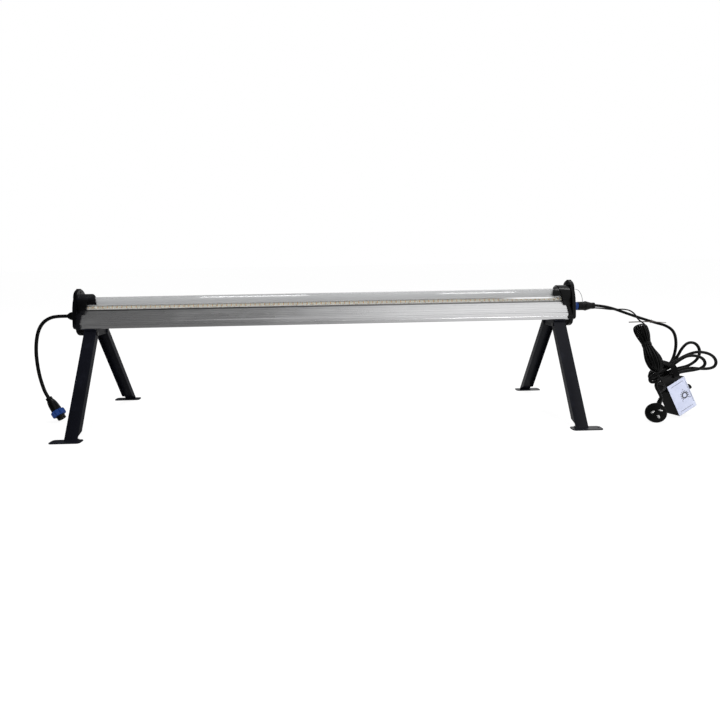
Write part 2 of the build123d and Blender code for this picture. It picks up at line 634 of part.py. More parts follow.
with BuildPart() as output_strain_nut:
    with BuildSketch(Plane(origin=OUTPUT_ROUTE[-1], z_dir=output_plug.x_dir)):
        Circle(7.4)
        with PolarLocations(7.6, 10):
            Circle(0.7, mode=Mode.SUBTRACT)
    extrude(amount=5)
save(output_strain_nut, "output_strain_nut")

with BuildPart() as output_connector:
    with BuildSketch(output_plug):
        Polygon((5, 0), (5, 6.4), (8, 7.6), (36, 11.6), (36, 9.5), (OUTPUT_LENGTH, 9.5),
                (OUTPUT_LENGTH, SOCKET_R), (OUTPUT_FLOOR, SOCKET_R), (OUTPUT_FLOOR, 0), align=None)
    revolve(axis=output_axis)
save(output_connector, "output_connector")

with BuildPart() as output_lock_ring:
    with BuildSketch(Plane(origin=output_plug.from_local_coords((36.8, 0, 0)), z_dir=output_plug.x_dir)):
        RegularPolygon(15.6, 12)
        Circle(9.5 + RUNNING, mode=Mode.SUBTRACT)
    extrude(amount=13.6)
save(output_lock_ring, "output_lock_ring")

socket_floor = Plane(origin=output_plug.from_local_coords((OUTPUT_FLOOR, 0, 0)), z_dir=output_plug.x_dir)
with BuildPart() as output_insert:
    with BuildSketch(socket_floor):
        Circle(SOCKET_R)
        with PolarLocations(4, 4):
            Circle(1, mode=Mode.SUBTRACT)
    extrude(amount=8)
save(output_insert, "output_insert")

with BuildPart() as output_contacts:
    with BuildSketch(socket_floor):
        with PolarLocations(4, 4):
            Circle(0.95)
    extrude(amount=10)
save(output_contacts, "output_contacts")

# ---------------------------------------------------------------- mains plug, on its rim on the floor
PLUG_DEPTH = 16.0
plug_face = Plane(origin=(722, -148, 22.1), x_dir=(0.923, -0.253, 0.289), z_dir=(-0.330, -0.908, 0.259))
plug_middle = plug_face.origin - plug_face.z_dir * (PLUG_DEPTH / 2)
NECK_END = Vector(*MAINS_ROUTE[-1])
neck_dir = (NECK_END - plug_middle).normalized()
neck_length = (NECK_END - plug_middle).length
NECK_ROOT = 12.0

with BuildPart() as plug_body:
    with BuildSketch(Plane(origin=plug_face.origin, x_dir=-plug_face.z_dir, z_dir=plug_face.x_dir)):
        Polygon((0, 0), (0, 21.3), (0.7, 22), (6, 22), (PLUG_DEPTH - 1, 18.4), (PLUG_DEPTH, 17.4), (PLUG_DEPTH, 0),
                align=None)
    revolve(axis=Axis(plug_face.origin, plug_face.z_dir))
    with Locations(Plane(origin=plug_middle + neck_dir * NECK_ROOT, z_dir=neck_dir)):
        Cone(6.4, 4.7, neck_length - NECK_ROOT, align=(Align.CENTER, Align.CENTER, Align.MIN))
save(plug_body, "plug_body")

PLUG_PINS = [(-7.9, 3.6, 35), (7.9, 3.6, -35), (0, -8.6, 90)]
with BuildPart() as plug_pins:
    with BuildSketch(plug_face):
        for x, y, turn in PLUG_PINS:
            with Locations((x, y)):
                Rectangle(6.3, 1.6, rotation=turn)
    extrude(amount=17)
save(plug_pins, "plug_pins")

# ---------------------------------------------------------------- dimmer on the control cord
CASE_W, CASE_H, CASE_D = 50.0, 78.0, 36.0
CASE_WALL = 2.0
COVER = 2.5
dimmer = Plane(origin=(794.7, -118.9, 3.4), x_dir=(0.875, 0.18, 0.45), z_dir=(0.165, -0.983, 0.08))
CASE_MIDDLE = (CASE_W / 2, CASE_H / 2)
KNOB_DEPTH = 18.0
POT_HOLE = 3.6
GLAND_PLACE = dimmer.to_local_coords(Vector(*CONTROL_END_ROUTE[-1]))
side_right = Plane(origin=dimmer.from_local_coords((CASE_W, CASE_H / 2, -KNOB_DEPTH)), x_dir=dimmer.y_dir,
                   z_dir=dimmer.x_dir)
side_left = Plane(origin=dimmer.from_local_coords((0, GLAND_PLACE.Y, GLAND_PLACE.Z)), x_dir=dimmer.y_dir,
                  z_dir=-dimmer.x_dir)

with BuildPart() as dimmer_case:
    with BuildSketch(dimmer):
        with Locations(CASE_MIDDLE):
            RectangleRounded(CASE_W, CASE_H, 1.5)
    extrude(amount=-(CASE_D - COVER))
    with BuildSketch(dimmer.offset(-CASE_WALL)):
        with Locations(CASE_MIDDLE):
            Rectangle(CASE_W - 2 * CASE_WALL, CASE_H - 2 * CASE_WALL)
            with GridLocations(CASE_W - 10, CASE_H - 10, 2, 2):
                Circle(3.4, mode=Mode.SUBTRACT)
    extrude(amount=-(CASE_D - COVER - CASE_WALL), mode=Mode.SUBTRACT)
    with BuildSketch(dimmer.offset(-(CASE_D - COVER))):
        with Locations(CASE_MIDDLE):
            with GridLocations(CASE_W - 10, CASE_H - 10, 2, 2):
                Circle(1.25 + RUNNING)
    extrude(amount=12, mode=Mode.SUBTRACT)
    with BuildSketch(side_right):
        Circle(POT_HOLE)
    extrude(amount=-CASE_WALL, mode=Mode.SUBTRACT)
    with BuildSketch(side_left):
        Circle(2.8)
    extrude(amount=-CASE_WALL, mode=Mode.SUBTRACT)
save(dimmer_case, "dimmer_case")

with BuildPart() as dimmer_lid:
    with BuildSketch(dimmer.offset(-(CASE_D - COVER))):
        with Locations(CASE_MIDDLE):
            RectangleRounded(CASE_W, CASE_H, 1.5)
            with GridLocations(CASE_W - 10, CASE_H - 10, 2, 2):
                Circle(1.25 + RUNNING, mode=Mode.SUBTRACT)
    extrude(amount=-COVER)
    with BuildSketch(dimmer.offset(-CASE_D)):
        with Locations(CASE_MIDDLE):
            with GridLocations(CASE_W - 10, CASE_H - 10, 2, 2):
                Circle(2.5)
    extrude(amount=1.4, mode=Mode.SUBTRACT)
save(dimmer_lid, "dimmer_lid")

with BuildPart() as dimmer_screws:
    with BuildSketch(dimmer.offset(-CASE_D + 1.4)):
        with Locations(CASE_MIDDLE):
            with GridLocations(CASE_W - 10, CASE_H - 10, 2, 2):
                Circle(2.3)
    extrude(amount=-1.2)
    with BuildSketch(dimmer.offset(-CASE_D + 1.4)):
        with Locations(CASE_MIDDLE):
            with GridLocations(CASE_W - 10, CASE_H - 10, 2, 2):
                Circle(1.25)
    extrude(amount=10)
save(dimmer_screws, "dimmer_screws")

with BuildPart() as dimmer_label:
    with BuildSketch(dimmer):
        with Locations(CASE_MIDDLE):
            RectangleRounded(CASE_W - 1, CASE_H - 1, 1.5)
    extrude(amount=0.25)
save(dimmer_label, "dimmer_label")

with BuildPart() as dimmer_board:
    with BuildSketch(dimmer.offset(-26)):
        with Locations(CASE_MIDDLE):
            Rectangle(CASE_W - 16, CASE_H - 16)
    extrude(amount=-1.6)
    with BuildSketch(dimmer.offset(-26)):
        with Locations((CASE_W / 2 - 4, 20), (CASE_W / 2 - 4, 58)):
            Rectangle(12, 10)
    extrude(amount=5)
save(dimmer_board, "dimmer_board")

with BuildPart() as dimmer_pot:
    with BuildSketch(side_right.offset(-CASE_WALL)):
        Rectangle(16, 15)
    extrude(amount=-9)
    with BuildSketch(side_right.offset(-CASE_WALL)):
        Circle(POT_HOLE)
    extrude(amount=CASE_WALL + 1.5)
    with BuildSketch(side_right.offset(1.5)):
        Circle(3)
    extrude(amount=11)
save(dimmer_pot, "dimmer_pot")

KNOB_GAP = 1.8
with BuildPart() as dimmer_knob:
    with BuildSketch(side_right.offset(KNOB_GAP)):
        Circle(7)
    extrude(amount=3)
    with BuildSketch(side_right.offset(KNOB_GAP + 3)):
        Circle(6)
        with PolarLocations(6.2, 18):
            Circle(0.5, mode=Mode.SUBTRACT)
    extrude(amount=11)
    with BuildSketch(side_right.offset(KNOB_GAP)):
        Circle(3 + RUNNING)
    extrude(amount=11, mode=Mode.SUBTRACT)
    with BuildSketch(side_right.offset(KNOB_GAP + 14)):
        with Locations((0, 3)):
            Rectangle(0.9, 5)
    extrude(amount=-0.6, mode=Mode.SUBTRACT)
save(dimmer_knob, "dimmer_knob")

gland_reach = -GLAND_PLACE.X
with BuildPart() as dimmer_gland:
    with BuildSketch(side_left):
        Circle(2.8)
    extrude(amount=-CASE_WALL - 1)
    with BuildSketch(side_left):
        Circle(3.9)
    extrude(amount=1.5)
    with BuildSketch(side_left.offset(1.5)):
        Circle(3.4)
    with BuildSketch(side_left.offset(gland_reach)):
        Circle(2.3)
    loft()
save(dimmer_gland, "dimmer_gland")

# ---------------------------------------------------------------- strap, tie and safety wire
strap = Plane(origin=(771.3, -101.3, 109.5), x_dir=(0, 1, 0), z_dir=(0.91, 0, 0.415))
STRAP_WIDTH, STRAP_THICK = 13.0, 1.8
STRAP_INSIDE = (46.5, 29.0)
with BuildPart() as bundle_strap:
    with BuildSketch(strap.offset(-STRAP_WIDTH / 2)):
        RectangleRounded(STRAP_INSIDE[0] + 2 * STRAP_THICK, STRAP_INSIDE[1] + 2 * STRAP_THICK, 7)
        RectangleRounded(*STRAP_INSIDE, 5.5, mode=Mode.SUBTRACT)
    extrude(amount=STRAP_WIDTH)
save(bundle_strap, "bundle_strap")

TIE_R = 0.65
tie_centre = (762, -34.5, 211.5)
tie_ring = Plane(origin=tie_centre, x_dir=(0, 0, 1), z_dir=(0.851, -0.426, -0.304))
TIE_ENDS = ((712, -29, 210), (788, -52, 210))
tie_front = tie_ring.from_local_coords((0, 4.1, 0))
with BuildPart() as twist_tie:
    with BuildSketch(Plane(origin=tie_ring.from_local_coords((4.1, 0, 0)), z_dir=tie_ring.y_dir)):
        Circle(TIE_R)
    revolve(axis=Axis(tie_ring.origin, tie_ring.z_dir))
    for tie_end in TIE_ENDS:
        tail = Vector(*tie_end) - tie_front
        with BuildSketch(Plane(origin=tie_front, z_dir=tail)):
            Circle(TIE_R)
        extrude(amount=tail.length)
save(twist_tie, "twist_tie")

LANYARD = [(PLATE_OUT, -5, 286), (589, -6, 289.5), (598, -7, 286), (606, -7, 273), (610, -5.6, 256.5)]
with BuildPart() as lanyard_wire:
    with BuildLine() as lanyard_path:
        FilletPolyline(*LANYARD, radius=corner_radii(LANYARD))
    with BuildSketch(Plane(origin=LANYARD[0], z_dir=runs_of(LANYARD)[0])):
        Circle(0.6)
    sweep(path=lanyard_path.wires()[0])
save(lanyard_wire, "lanyard_wire")
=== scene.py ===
# %% [markdown]
# # LED grow light on folding stands
# A ribbed aluminium bar shines upward from between the plants. Black plastic caps close its ends, two
# pairs of folded steel legs carry it, and three leads belong to it: an output lead with a blue locking
# ring, a mains lead with a round plug, and a thin control cord with a dimmer. The engineering solids come
# in as a fixed frame. This lesson gives them their looks: rounded edges, finishes, and cords that lie as
# real ones do.

# %% Load the frame
import bpy
import bmesh
import math
from mathutils import Matrix, Vector


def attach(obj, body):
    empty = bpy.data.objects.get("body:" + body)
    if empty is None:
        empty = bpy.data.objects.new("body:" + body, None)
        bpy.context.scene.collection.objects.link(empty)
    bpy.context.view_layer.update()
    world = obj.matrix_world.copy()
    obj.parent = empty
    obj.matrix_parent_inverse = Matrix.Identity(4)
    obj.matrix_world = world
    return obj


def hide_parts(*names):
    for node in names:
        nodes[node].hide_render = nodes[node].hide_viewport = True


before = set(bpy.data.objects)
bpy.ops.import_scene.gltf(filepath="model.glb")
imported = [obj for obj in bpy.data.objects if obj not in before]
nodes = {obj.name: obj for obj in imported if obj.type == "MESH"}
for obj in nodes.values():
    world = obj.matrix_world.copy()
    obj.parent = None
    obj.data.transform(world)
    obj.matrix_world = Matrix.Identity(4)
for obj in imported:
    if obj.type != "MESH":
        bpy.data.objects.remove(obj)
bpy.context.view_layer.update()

# %% [markdown]
# ## Camera
# Product pictures are taken with a real lens from a little above. The camera stands 1.3 m in front of the
# bar and looks down by about ten degrees. Its three axes are worked out from turn, tilt and roll, and go
# straight into its matrix, which is easier to reason about than a chain of rotations. The lens is shifted
# a little, which moves the picture without tilting the camera.

# %% Camera
VIEW_FROM = Vector((0.010, -1.3027, 0.3688))
TURN, TILT, ROLL = (math.radians(a) for a in (1.57, 9.69, -1.0))
LENS_MM, SENSOR_MM = 27.5, 36
SHIFT_X, SHIFT_Y = 0.0176, -0.0099      # shares of the sensor's width

look = Vector((math.sin(TURN) * math.cos(TILT), math.cos(TURN) * math.cos(TILT), -math.sin(TILT)))
level = Vector((math.cos(TURN), -math.sin(TURN), 0))
upright = level.cross(look)
camera_right = level * math.cos(ROLL) + upright * math.sin(ROLL)
camera_up = upright * math.cos(ROLL) - level * math.sin(ROLL)
camera_turn = Matrix((camera_right, camera_up, -look)).transposed().to_4x4()

camera = bpy.data.objects.new("camera", bpy.data.cameras.new("camera"))
camera.matrix_world = Matrix.Translation(VIEW_FROM) @ camera_turn
camera.data.lens = LENS_MM
camera.data.sensor_width = SENSOR_MM
camera.data.shift_x = SHIFT_X
camera.data.shift_y = SHIFT_Y
bpy.context.scene.collection.objects.link(camera)
bpy.context.scene.camera = camera
print("camera looks along", tuple(round(v, 3) for v in look))

# %% [markdown]
# ## Cords
# A cord is one smooth line of a fixed length. A NURBS spline of order three passes near its control points
# and joins them without corners, and a bevel makes it round. The points are the cord's route in
# millimetres. The bevel is one metre deep and each point's own radius scales it down, because a curve's
# bounding box is worked out from those radii.


# %% A helper for round cords and wires
def cord_line(name, route_mm, radius_mm, body="light", resolution=8):
    """A round cord along a route in millimetres, as one open NURBS spline; returns it and its length."""
    curve = bpy.data.curves.new(name, "CURVE")
    curve.dimensions = "3D"
    curve.bevel_depth = 1.0
    curve.bevel_resolution = 4
    curve.use_fill_caps = True
    spline = curve.splines.new("NURBS")
    spline.points.add(len(route_mm) - 1)
    for point, spot in zip(spline.points, route_mm):
        point.co = (*(Vector(spot) / 1000), 1)
        point.radius = radius_mm / 1000
    spline.order_u = 3
    spline.use_endpoint_u = True
    spline.resolution_u = resolution
    cord = bpy.data.objects.new(name, curve)
    bpy.context.scene.collection.objects.link(cord)
    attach(cord, body)
    length = spline.calc_length()
    print(f"{name}: {len(route_mm)} points, {length:.3f} m")
    return cord, length


# %% [markdown]
# ## Output lead
# Twenty-five centimetres of stiff eight-millimetre cord leave the gland at the left end, bend over and
# hang until the connector's nose stands on the floor.

# %% Output cord
OUTPUT_R = 4.0
OUTPUT_ROUTE = [
    (-606, 0, 248), (-624, 0, 248.5), (-645, -3, 246.5), (-662, -6.5, 236), (-673, -9, 219),
    (-680, -10, 196), (-684, -10.5, 168), (-684.7, -10, 139), (-683.5, -8.5, 110), (-680, -6, 84),
    (-675.6, -5.5, 66.1), (-668, -8.3, 54.9),
]
output_lead, output_length = cord_line("output_lead", OUTPUT_ROUTE, OUTPUT_R)
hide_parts("output_cord")

# %% [markdown]
# ## Mains lead
# The mains lead swings out from the right end, drops, and is gathered in three loose loops under a
# hook-and-loop strap. At the strap's far side each loop folds back sharply. The last stretch runs down to
# the round plug. The loops differ in size, because nobody winds them exactly.

# %% Mains cord
MAINS_R = 3.25
MAINS_ROUTE = [
    (639, 0, 249), (660, -1, 247), (684, -6, 241), (712, -14, 230), (741, -24, 219), (769, -38, 209),
    (790, -50, 203), (804, -59, 190), (805.5, -68, 166), (800, -75, 143), (792, -79, 124),
    # into the strap, first fold, out to the upper loop
    (778, -83, 108), (760, -87, 95), (742, -87, 86.4), (735, -87, 101), (757, -88, 112),
    (777, -91, 119), (793, -94, 134), (801, -95, 155), (814, -96, 170), (832, -97, 168),
    (843, -98, 151), (839, -99, 131), (819, -99, 116), (795, -98, 111),
    # second fold, out to the long loop
    (777, -97, 105), (756, -97, 92), (735, -97, 83), (728, -97, 98), (750, -98, 109),
    (771, -99, 115), (791, -104, 134), (822, -108, 150), (849, -109, 148), (867, -109, 139),
    (875.8, -108, 126), (874, -107, 114.5), (861, -107, 110), (843, -107, 110), (819, -107, 113),
    (799, -107, 111),
    # third fold, out to the middle loop
    (779, -107, 103), (757, -107, 91), (731, -107, 78), (723.5, -107, 92), (744, -108, 104),
    (765, -110, 113), (780, -115, 129), (799, -118, 143), (822, -118, 143), (839, -118, 135),
    (844.5, -118, 122), (833, -119, 113), (811, -120, 109.5), (789, -120, 107),
    # back under the strap and down to the plug
    (769, -120, 100), (750, -121, 94), (734.5, -123, 89), (727.5, -128, 78), (733, -133, 66),
    (738.1, -136.2, 53.1),
]
mains_lead, mains_length = cord_line("mains_lead", MAINS_ROUTE, MAINS_R)
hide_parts("mains_cord")

# %% [markdown]
# ## Control cord and its hank
# The thin control cord leaves the connector beside the mains lead and crosses in front of it. Most of it
# is folded to and fro into a hank, which a thin tie gathers at the waist. The folds come from a loop in
# the code: each run has its own place in the bundle's section, and the bundle's outline swells and narrows
# along it. Runs that follow each other lie on nearly opposite sides, which keeps the folds wide.

# %% Where the hank lies
CONTROL_R = 1.6
CONTROL_LEAD = [
    (639, 0, 242.8), (656, -3, 242), (671, -8, 239.5), (686, -14, 239), (700, -20, 240.5),
    (714, -26, 238), (723, -34, 229.5), (724, -45, 218), (721.5, -54.5, 208),
]
CONTROL_END = [
    (729, -134, 105.4), (730.4, -141.5, 96), (735.5, -145, 85.5), (742, -141, 76),
    (745, -131.5, 68.5), (744, -121, 61.5), (748, -112, 53.5), (758.3, -108.5, 56.7),
]
hank_top = Vector(CONTROL_LEAD[-1])
hank_end = Vector(CONTROL_END[0])
hank_length = (hank_end - hank_top).length
hank_axis = (hank_end - hank_top).normalized()
hank_side = hank_axis.cross(Vector((0, 1, 0))).normalized()
hank_front = hank_axis.cross(hank_side)
print("the hank is", round(hank_length), "mm long")

# %% The bundle's outline
# distance down the hank, radius
OUTLINE = [(0, 12), (8, 14.6), (20, 15.4), (36, 13.2), (50, 7.5), (60, 7.5), (72, 12), (88, 16.2),
           (104, 14.6), (116, 9.5), (130, 8)]


def outline_radius(station):
    """The bundle's radius at a distance down the hank, between the outline's points."""
    for (s0, r0), (s1, r1) in zip(OUTLINE, OUTLINE[1:]):
        if station <= s1:
            return r0 + (r1 - r0) * max(0, station - s0) / (s1 - s0)
    return OUTLINE[-1][1]


def round_hank(turn):
    """The direction out from the hank's middle line at an angle round it."""
    return hank_side * math.cos(turn) + hank_front * math.sin(turn)


def in_hank(station, turn, share):
    """A point of the hank: how far down, what angle round, and what share of the outline out."""
    return hank_top + hank_axis * station + round_hank(turn) * outline_radius(station) * share


# %% Runs and folds
OUTER_RUNS, OUTER_START = 14, 0.2
INNER_RUNS, INNER_START = 11, 0.5
INNER_STEP = 4                          # places round the hank from one inner run to the next
INNER_SHARES = (0.66, 0.42)             # how far out the inner runs lie, in turn
FIRST_FOLD, FOLD_STEP = 2.5, 0.6        # how far down the first upper fold is, and each next one more
FOOT_FOLD, FOOT_STEP = 5, 1.2           # the same for the lower folds, up from the hank's foot
WAIST_FROM, WAIST_MIDDLE, WAIST_TO = 44, 55, 66
SWAY, STRAY = 0.10, 0.05                # how much a run wanders round the hank, and in and out
LOOSE_STRAND = 0.38                     # how far the first run stands out below the tie, of the outline
LOOSE_FROM, LOOSE_LENGTH = 60, 62

runs = []
for k in range(OUTER_RUNS):
    opposite = k // 2 + OUTER_RUNS / 2 * (k % 2)
    runs.append((math.tau * opposite / OUTER_RUNS + OUTER_START, 1.0))
for k in range(INNER_RUNS):
    runs.append((math.tau * (INNER_STEP * k % INNER_RUNS) / INNER_RUNS + INNER_START, INNER_SHARES[k % 2]))

hank_route = []
for k, (turn, share) in enumerate(runs):
    first = FIRST_FOLD + FOLD_STEP * ((k + 1) // 2)
    last = hank_length - FOOT_FOLD - FOOT_STEP * (k // 2)
    loose = LOOSE_STRAND if k == 0 else 0
    points = []
    for s in (first, 0.5 * (first + WAIST_FROM), WAIST_FROM, WAIST_MIDDLE, WAIST_TO,
              0.5 * (last + WAIST_TO), last):
        wander = SWAY * math.sin(2.1 * k) * math.sin(s / 22)
        stand_out = STRAY * math.sin(s / 15 + k)
        stand_out += loose * max(0, math.sin(math.pi * (s - LOOSE_FROM) / LOOSE_LENGTH))
        points.append(in_hank(s, turn + wander, share * (1 + stand_out)))
    hank_route += points if k % 2 == 0 else points[::-1]

# %% Control cord
control_route = CONTROL_LEAD[:-1] + hank_route + CONTROL_END[1:]
control_lead, control_length = cord_line("control_lead", control_route, CONTROL_R, resolution=6)
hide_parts("control_cord", "control_hank", "control_cord_end")

# %% [markdown]
# ## Shader helpers
# Finishes are written as Python expressions. A `Number` wraps a shader socket, and arithmetic on it adds
# Math nodes, so a line such as `0.3 + 0.1 * grain` is both readable and live. `Nodes` is a node tree and
# the ways to add to it. A `Finish` is one material: it has its own node tree and feeds its Principled
# shader.


# %% Numbers that build Math nodes
class Number:
    """A shader value; Python arithmetic on it adds Math nodes to its tree."""

    def __init__(self, owner, socket):
        self.owner = owner
        self.socket = socket

    def __add__(self, other):
        return self.owner.math("ADD", self, other)

    __radd__ = __add__

    def __sub__(self, other):
        return self.owner.math("SUBTRACT", self, other)

    def __rsub__(self, other):
        return self.owner.math("SUBTRACT", other, self)

    def __mul__(self, other):
        return self.owner.math("MULTIPLY", self, other)

    __rmul__ = __mul__


# %% A node tree and short ways to add to it
class Nodes:
    """A node tree of a material or of the world."""

    def __init__(self, tree):
        self.tree = tree

    def give(self, target, socket, value):
        """Link a value to a node's socket, or set the socket to it."""
        if isinstance(value, Number):
            self.tree.links.new(value.socket, target.inputs[socket])
        else:
            target.inputs[socket].default_value = value

    def node(self, kind, settings=None, inputs=None, output=0):
        """Add a node: settings first, then its sockets' values or links. Returns one of its outputs."""
        made = self.tree.nodes.new(kind)
        for name, value in (settings or {}).items():
            setattr(made, name, value)
        for socket, value in (inputs or {}).items():
            self.give(made, socket, value)
        return Number(self, made.outputs[output])

    def math(self, operation, first, second):
        """One sum, difference, product or the like of two values."""
        return self.node("ShaderNodeMath", {"operation": operation}, {0: first, 1: second})

    def spread(self, value, low, high, to_low=0.0, to_high=1.0):
        """Stretch the range low..high of a value to another range, smoothly, and stop at its ends."""
        return self.node("ShaderNodeMapRange", {"interpolation_type": "SMOOTHSTEP"},
                         {0: value, 1: low, 2: high, 3: to_low, 4: to_high})

    def mix(self, share, first, second):
        """Blend two colours."""
        return self.node("ShaderNodeMix", {"data_type": "RGBA"}, {0: share, 6: first, 7: second},
                         output=2)


# %% One material and its nodes
EDGE_FROM, EDGE_TO = 0.52, 0.60         # Pointiness is 0.5 on a flat face


class Finish(Nodes):
    """A Principled material whose nodes read object coordinates, in metres."""

    def __init__(self, name, **constants):
        self.material = bpy.data.materials.new(name)
        self.material.use_nodes = True
        super().__init__(self.material.node_tree)
        self.shader = self.tree.nodes["Principled BSDF"]
        self.position = self.node("ShaderNodeTexCoord", output="Object")
        for socket, value in constants.items():
            self.feed(socket.replace("_", " "), value)

    def feed(self, socket, value):
        """Set or link one socket of the shader."""
        self.give(self.shader, socket, value)

    def noise(self, scale, detail, stretch=(1, 1, 1)):
        """Cloudy variation from 0 to 1; scale is in features per metre."""
        placed = self.node("ShaderNodeMapping", None, {"Vector": self.position, "Scale": stretch})
        return self.node("ShaderNodeTexNoise", None,
                         {"Vector": placed, "Scale": scale, "Detail": detail})

    def axis(self, letter):
        """One coordinate of the position, in metres."""
        return self.node("ShaderNodeSeparateXYZ", None, {0: self.position}, output="XYZ".index(letter))

    def relief(self, height, depth, strength):
        """Feed a height of 0 to 1 to the normal, as relief of a depth in metres."""
        self.feed("Normal", self.node("ShaderNodeBump", None,
                                      {"Height": height, "Distance": depth, "Strength": strength}))

    def edges(self):
        """1 along convex edges, for wear."""
        sharp = self.node("ShaderNodeNewGeometry", output="Pointiness")
        return self.spread(sharp, EDGE_FROM, EDGE_TO)


NEUTRAL = (1, 1, 1)


def grey(value, tint=NEUTRAL):
    """A colour of one brightness, with its red, green and blue scaled by a tint."""
    return (value * tint[0], value * tint[1], value * tint[2], 1)


# %% [markdown]
# ## Aluminium
# The bar is drawn through a die, so its surface carries very fine lines along X, and it is satin, not
# polished. The noise is stretched more than two hundred times along the bar and feeds colour, roughness
# and a shallow relief. At the top of each sloped face a lip throws a thin shadow, which height above the
# floor places.

# %% Satin extrusion
LIP_FROM, LIP_TO = 0.2600, 0.2606
LIP_DARKNESS = 0.75
COOL = (1, 1, 1.01)

extrusion_finish = Finish("satin extrusion", Metallic=1.0)
die_lines = extrusion_finish.noise(1, 2.0, (4, 900, 900))
fine_lines = extrusion_finish.noise(1, 1.0, (9, 2600, 2600))
handling = extrusion_finish.noise(14, 4.0, (1, 3, 3))
drawn = extrusion_finish.mix(extrusion_finish.spread(die_lines, 0.35, 0.65),
                             grey(0.60, COOL), grey(0.70, COOL))
lip_shade = extrusion_finish.spread(extrusion_finish.axis("Z"), LIP_FROM, LIP_TO)
extrusion_finish.feed("Base Color", extrusion_finish.mix(lip_shade * LIP_DARKNESS, drawn, grey(0.03)))
extrusion_finish.feed("Roughness", 0.24 + 0.08 * fine_lines
                      + 0.10 * extrusion_finish.spread(handling, 0.45, 0.75))
extrusion_finish.relief(die_lines, 0.00003, 0.4)
print(extrusion_finish.material.name, "has", len(extrusion_finish.tree.nodes), "nodes")

# %% [markdown]
# ## Clear cover
# The cover is clear plastic with a light frost on its round top, which is why the boards show only through
# its lower, straight walls. Height above the floor drives the frost. Real glass shading would be slower
# and export badly, so a part-open alpha does the work, with a glossy surface on top. A dark line of painted
# shade runs where the wall meets the frost. Near the right end a whitish painted reflection lies on the
# fold above the wall.

# %% Frosted cover
FROST_FROM, FROST_TO = 0.2722, 0.2732           # heights above the floor
# heights of a dark line of painted shade, where the wall meets the frost
SHADE_LINE_RISES, SHADE_LINE_FADES = (0.2706, 0.2711), (0.2716, 0.2722)
# where a whitish painted reflection lies: along the bar near the right end, and in height on the fold
REFLECTION_RISES, REFLECTION_FADES = (0.38, 0.46), (0.520, 0.545)        # along the bar
REFLECTION_FROM, REFLECTION_TO = 0.2680, 0.2696
MILK = (0.99, 1, 1.01)

cover_finish = Finish("frosted cover", Roughness=0.07, IOR=1.5)
height = cover_finish.axis("Z")
along_bar = cover_finish.axis("X")
flow = cover_finish.noise(1, 2.0, (3, 260, 260))
frost = cover_finish.spread(height, FROST_FROM, FROST_TO)
# painted shade: the dark, less clear line at the top of the wall
painted_shade_line = cover_finish.spread(height, *SHADE_LINE_RISES) * (1 - cover_finish.spread(height, *SHADE_LINE_FADES))
# painted reflection: a whitish band on the fold above the wall, near the right end
painted_reflection = (cover_finish.spread(along_bar, *REFLECTION_RISES) * (1 - cover_finish.spread(along_bar, *REFLECTION_FADES))
         * cover_finish.spread(height, REFLECTION_FROM, REFLECTION_TO) * (1 - frost))
milky = cover_finish.mix(flow, grey(0.39, MILK), grey(0.46, MILK))
# in the colour, grey 0.16 is the painted shade line and grey 0.88 the painted reflection; the alpha makes
# both less clear
cover_finish.feed("Base Color", cover_finish.mix(painted_reflection, cover_finish.mix(painted_shade_line, milky, grey(0.16)),
                                                 grey(0.88)))
cover_finish.feed("Alpha", 0.06 + 0.66 * frost + 0.55 * painted_shade_line + 0.06 * flow + 0.8 * painted_reflection)
cover_finish.feed("Roughness", 0.05 + 0.04 * flow)
waviness = cover_finish.noise(1, 1.0, (4, 24, 24))
cover_finish.relief(waviness, 0.00025, 0.3)
print(cover_finish.material.name, "has", len(cover_finish.tree.nodes), "nodes")

# %% [markdown]
# ## Black plastics, paint and rubber
# Black things differ in their gloss. Moulded caps have a fine spark-eroded texture, powder coat has a soft
# orange peel, rubber is the dullest. Each gets its own grain, a little dust in its colour and lighter
# edges, where things rub.


# %% Dark finishes
def dark_finish(name, shade, roughness, grain_per_m, grain_depth, edge_shade,
                tint=NEUTRAL, dust=0.5, gloss=0.2):
    """Moulded, painted or sheathed: a shade with grain, dust and lighter edges."""
    finish = Finish(name)
    grain = finish.noise(grain_per_m, 2.0)
    cloud = finish.noise(35, 5.0)
    dusty = finish.spread(cloud, 0.50, 0.78) * dust
    clean = finish.mix(dusty, grey(shade, tint), grey(shade * 2.2 + 0.002, tint))
    finish.feed("Base Color", finish.mix(finish.edges() * 0.5, clean, grey(edge_shade, tint)))
    finish.feed("Roughness", roughness + 0.12 * cloud + 0.05 * grain)
    finish.feed("Specular IOR Level", gloss)
    finish.relief(grain, grain_depth, 0.6)
    return finish


cap_finish = dark_finish(
    "moulded cap plastic", shade=0.0012, tint=(1, 1, 1.3), roughness=0.16, grain_per_m=1900,
    grain_depth=0.00003, edge_shade=0.008, dust=0.3, gloss=0.13)
coat_finish = dark_finish(
    "black powder coat", shade=0.0036, tint=(1, 1.10, 1.8), roughness=0.26, grain_per_m=1500,
    grain_depth=0.00005, edge_shade=0.012, gloss=0.13)
sheath_finish = dark_finish(
    "cord sheath", shade=0.0013, roughness=0.34, grain_per_m=900,
    grain_depth=0.00003, edge_shade=0.004, gloss=0.14)
connector_finish = dark_finish(
    "connector plastic", shade=0.0014, roughness=0.24, grain_per_m=2200,
    grain_depth=0.00002, edge_shade=0.010, dust=0.3, gloss=0.13)
case_finish = dark_finish(
    "dimmer case plastic", shade=0.0008, roughness=0.34, grain_per_m=2600,
    grain_depth=0.00004, edge_shade=0.004, dust=0.15, gloss=0.03)
knob_finish = dark_finish(
    "knob plastic", shade=0.0025, roughness=0.35, grain_per_m=2600,
    grain_depth=0.00003, edge_shade=0.015)
gasket_finish = dark_finish(
    "gasket rubber", shade=0.0060, roughness=0.65, grain_per_m=1200,
    grain_depth=0.00005, edge_shade=0.010)
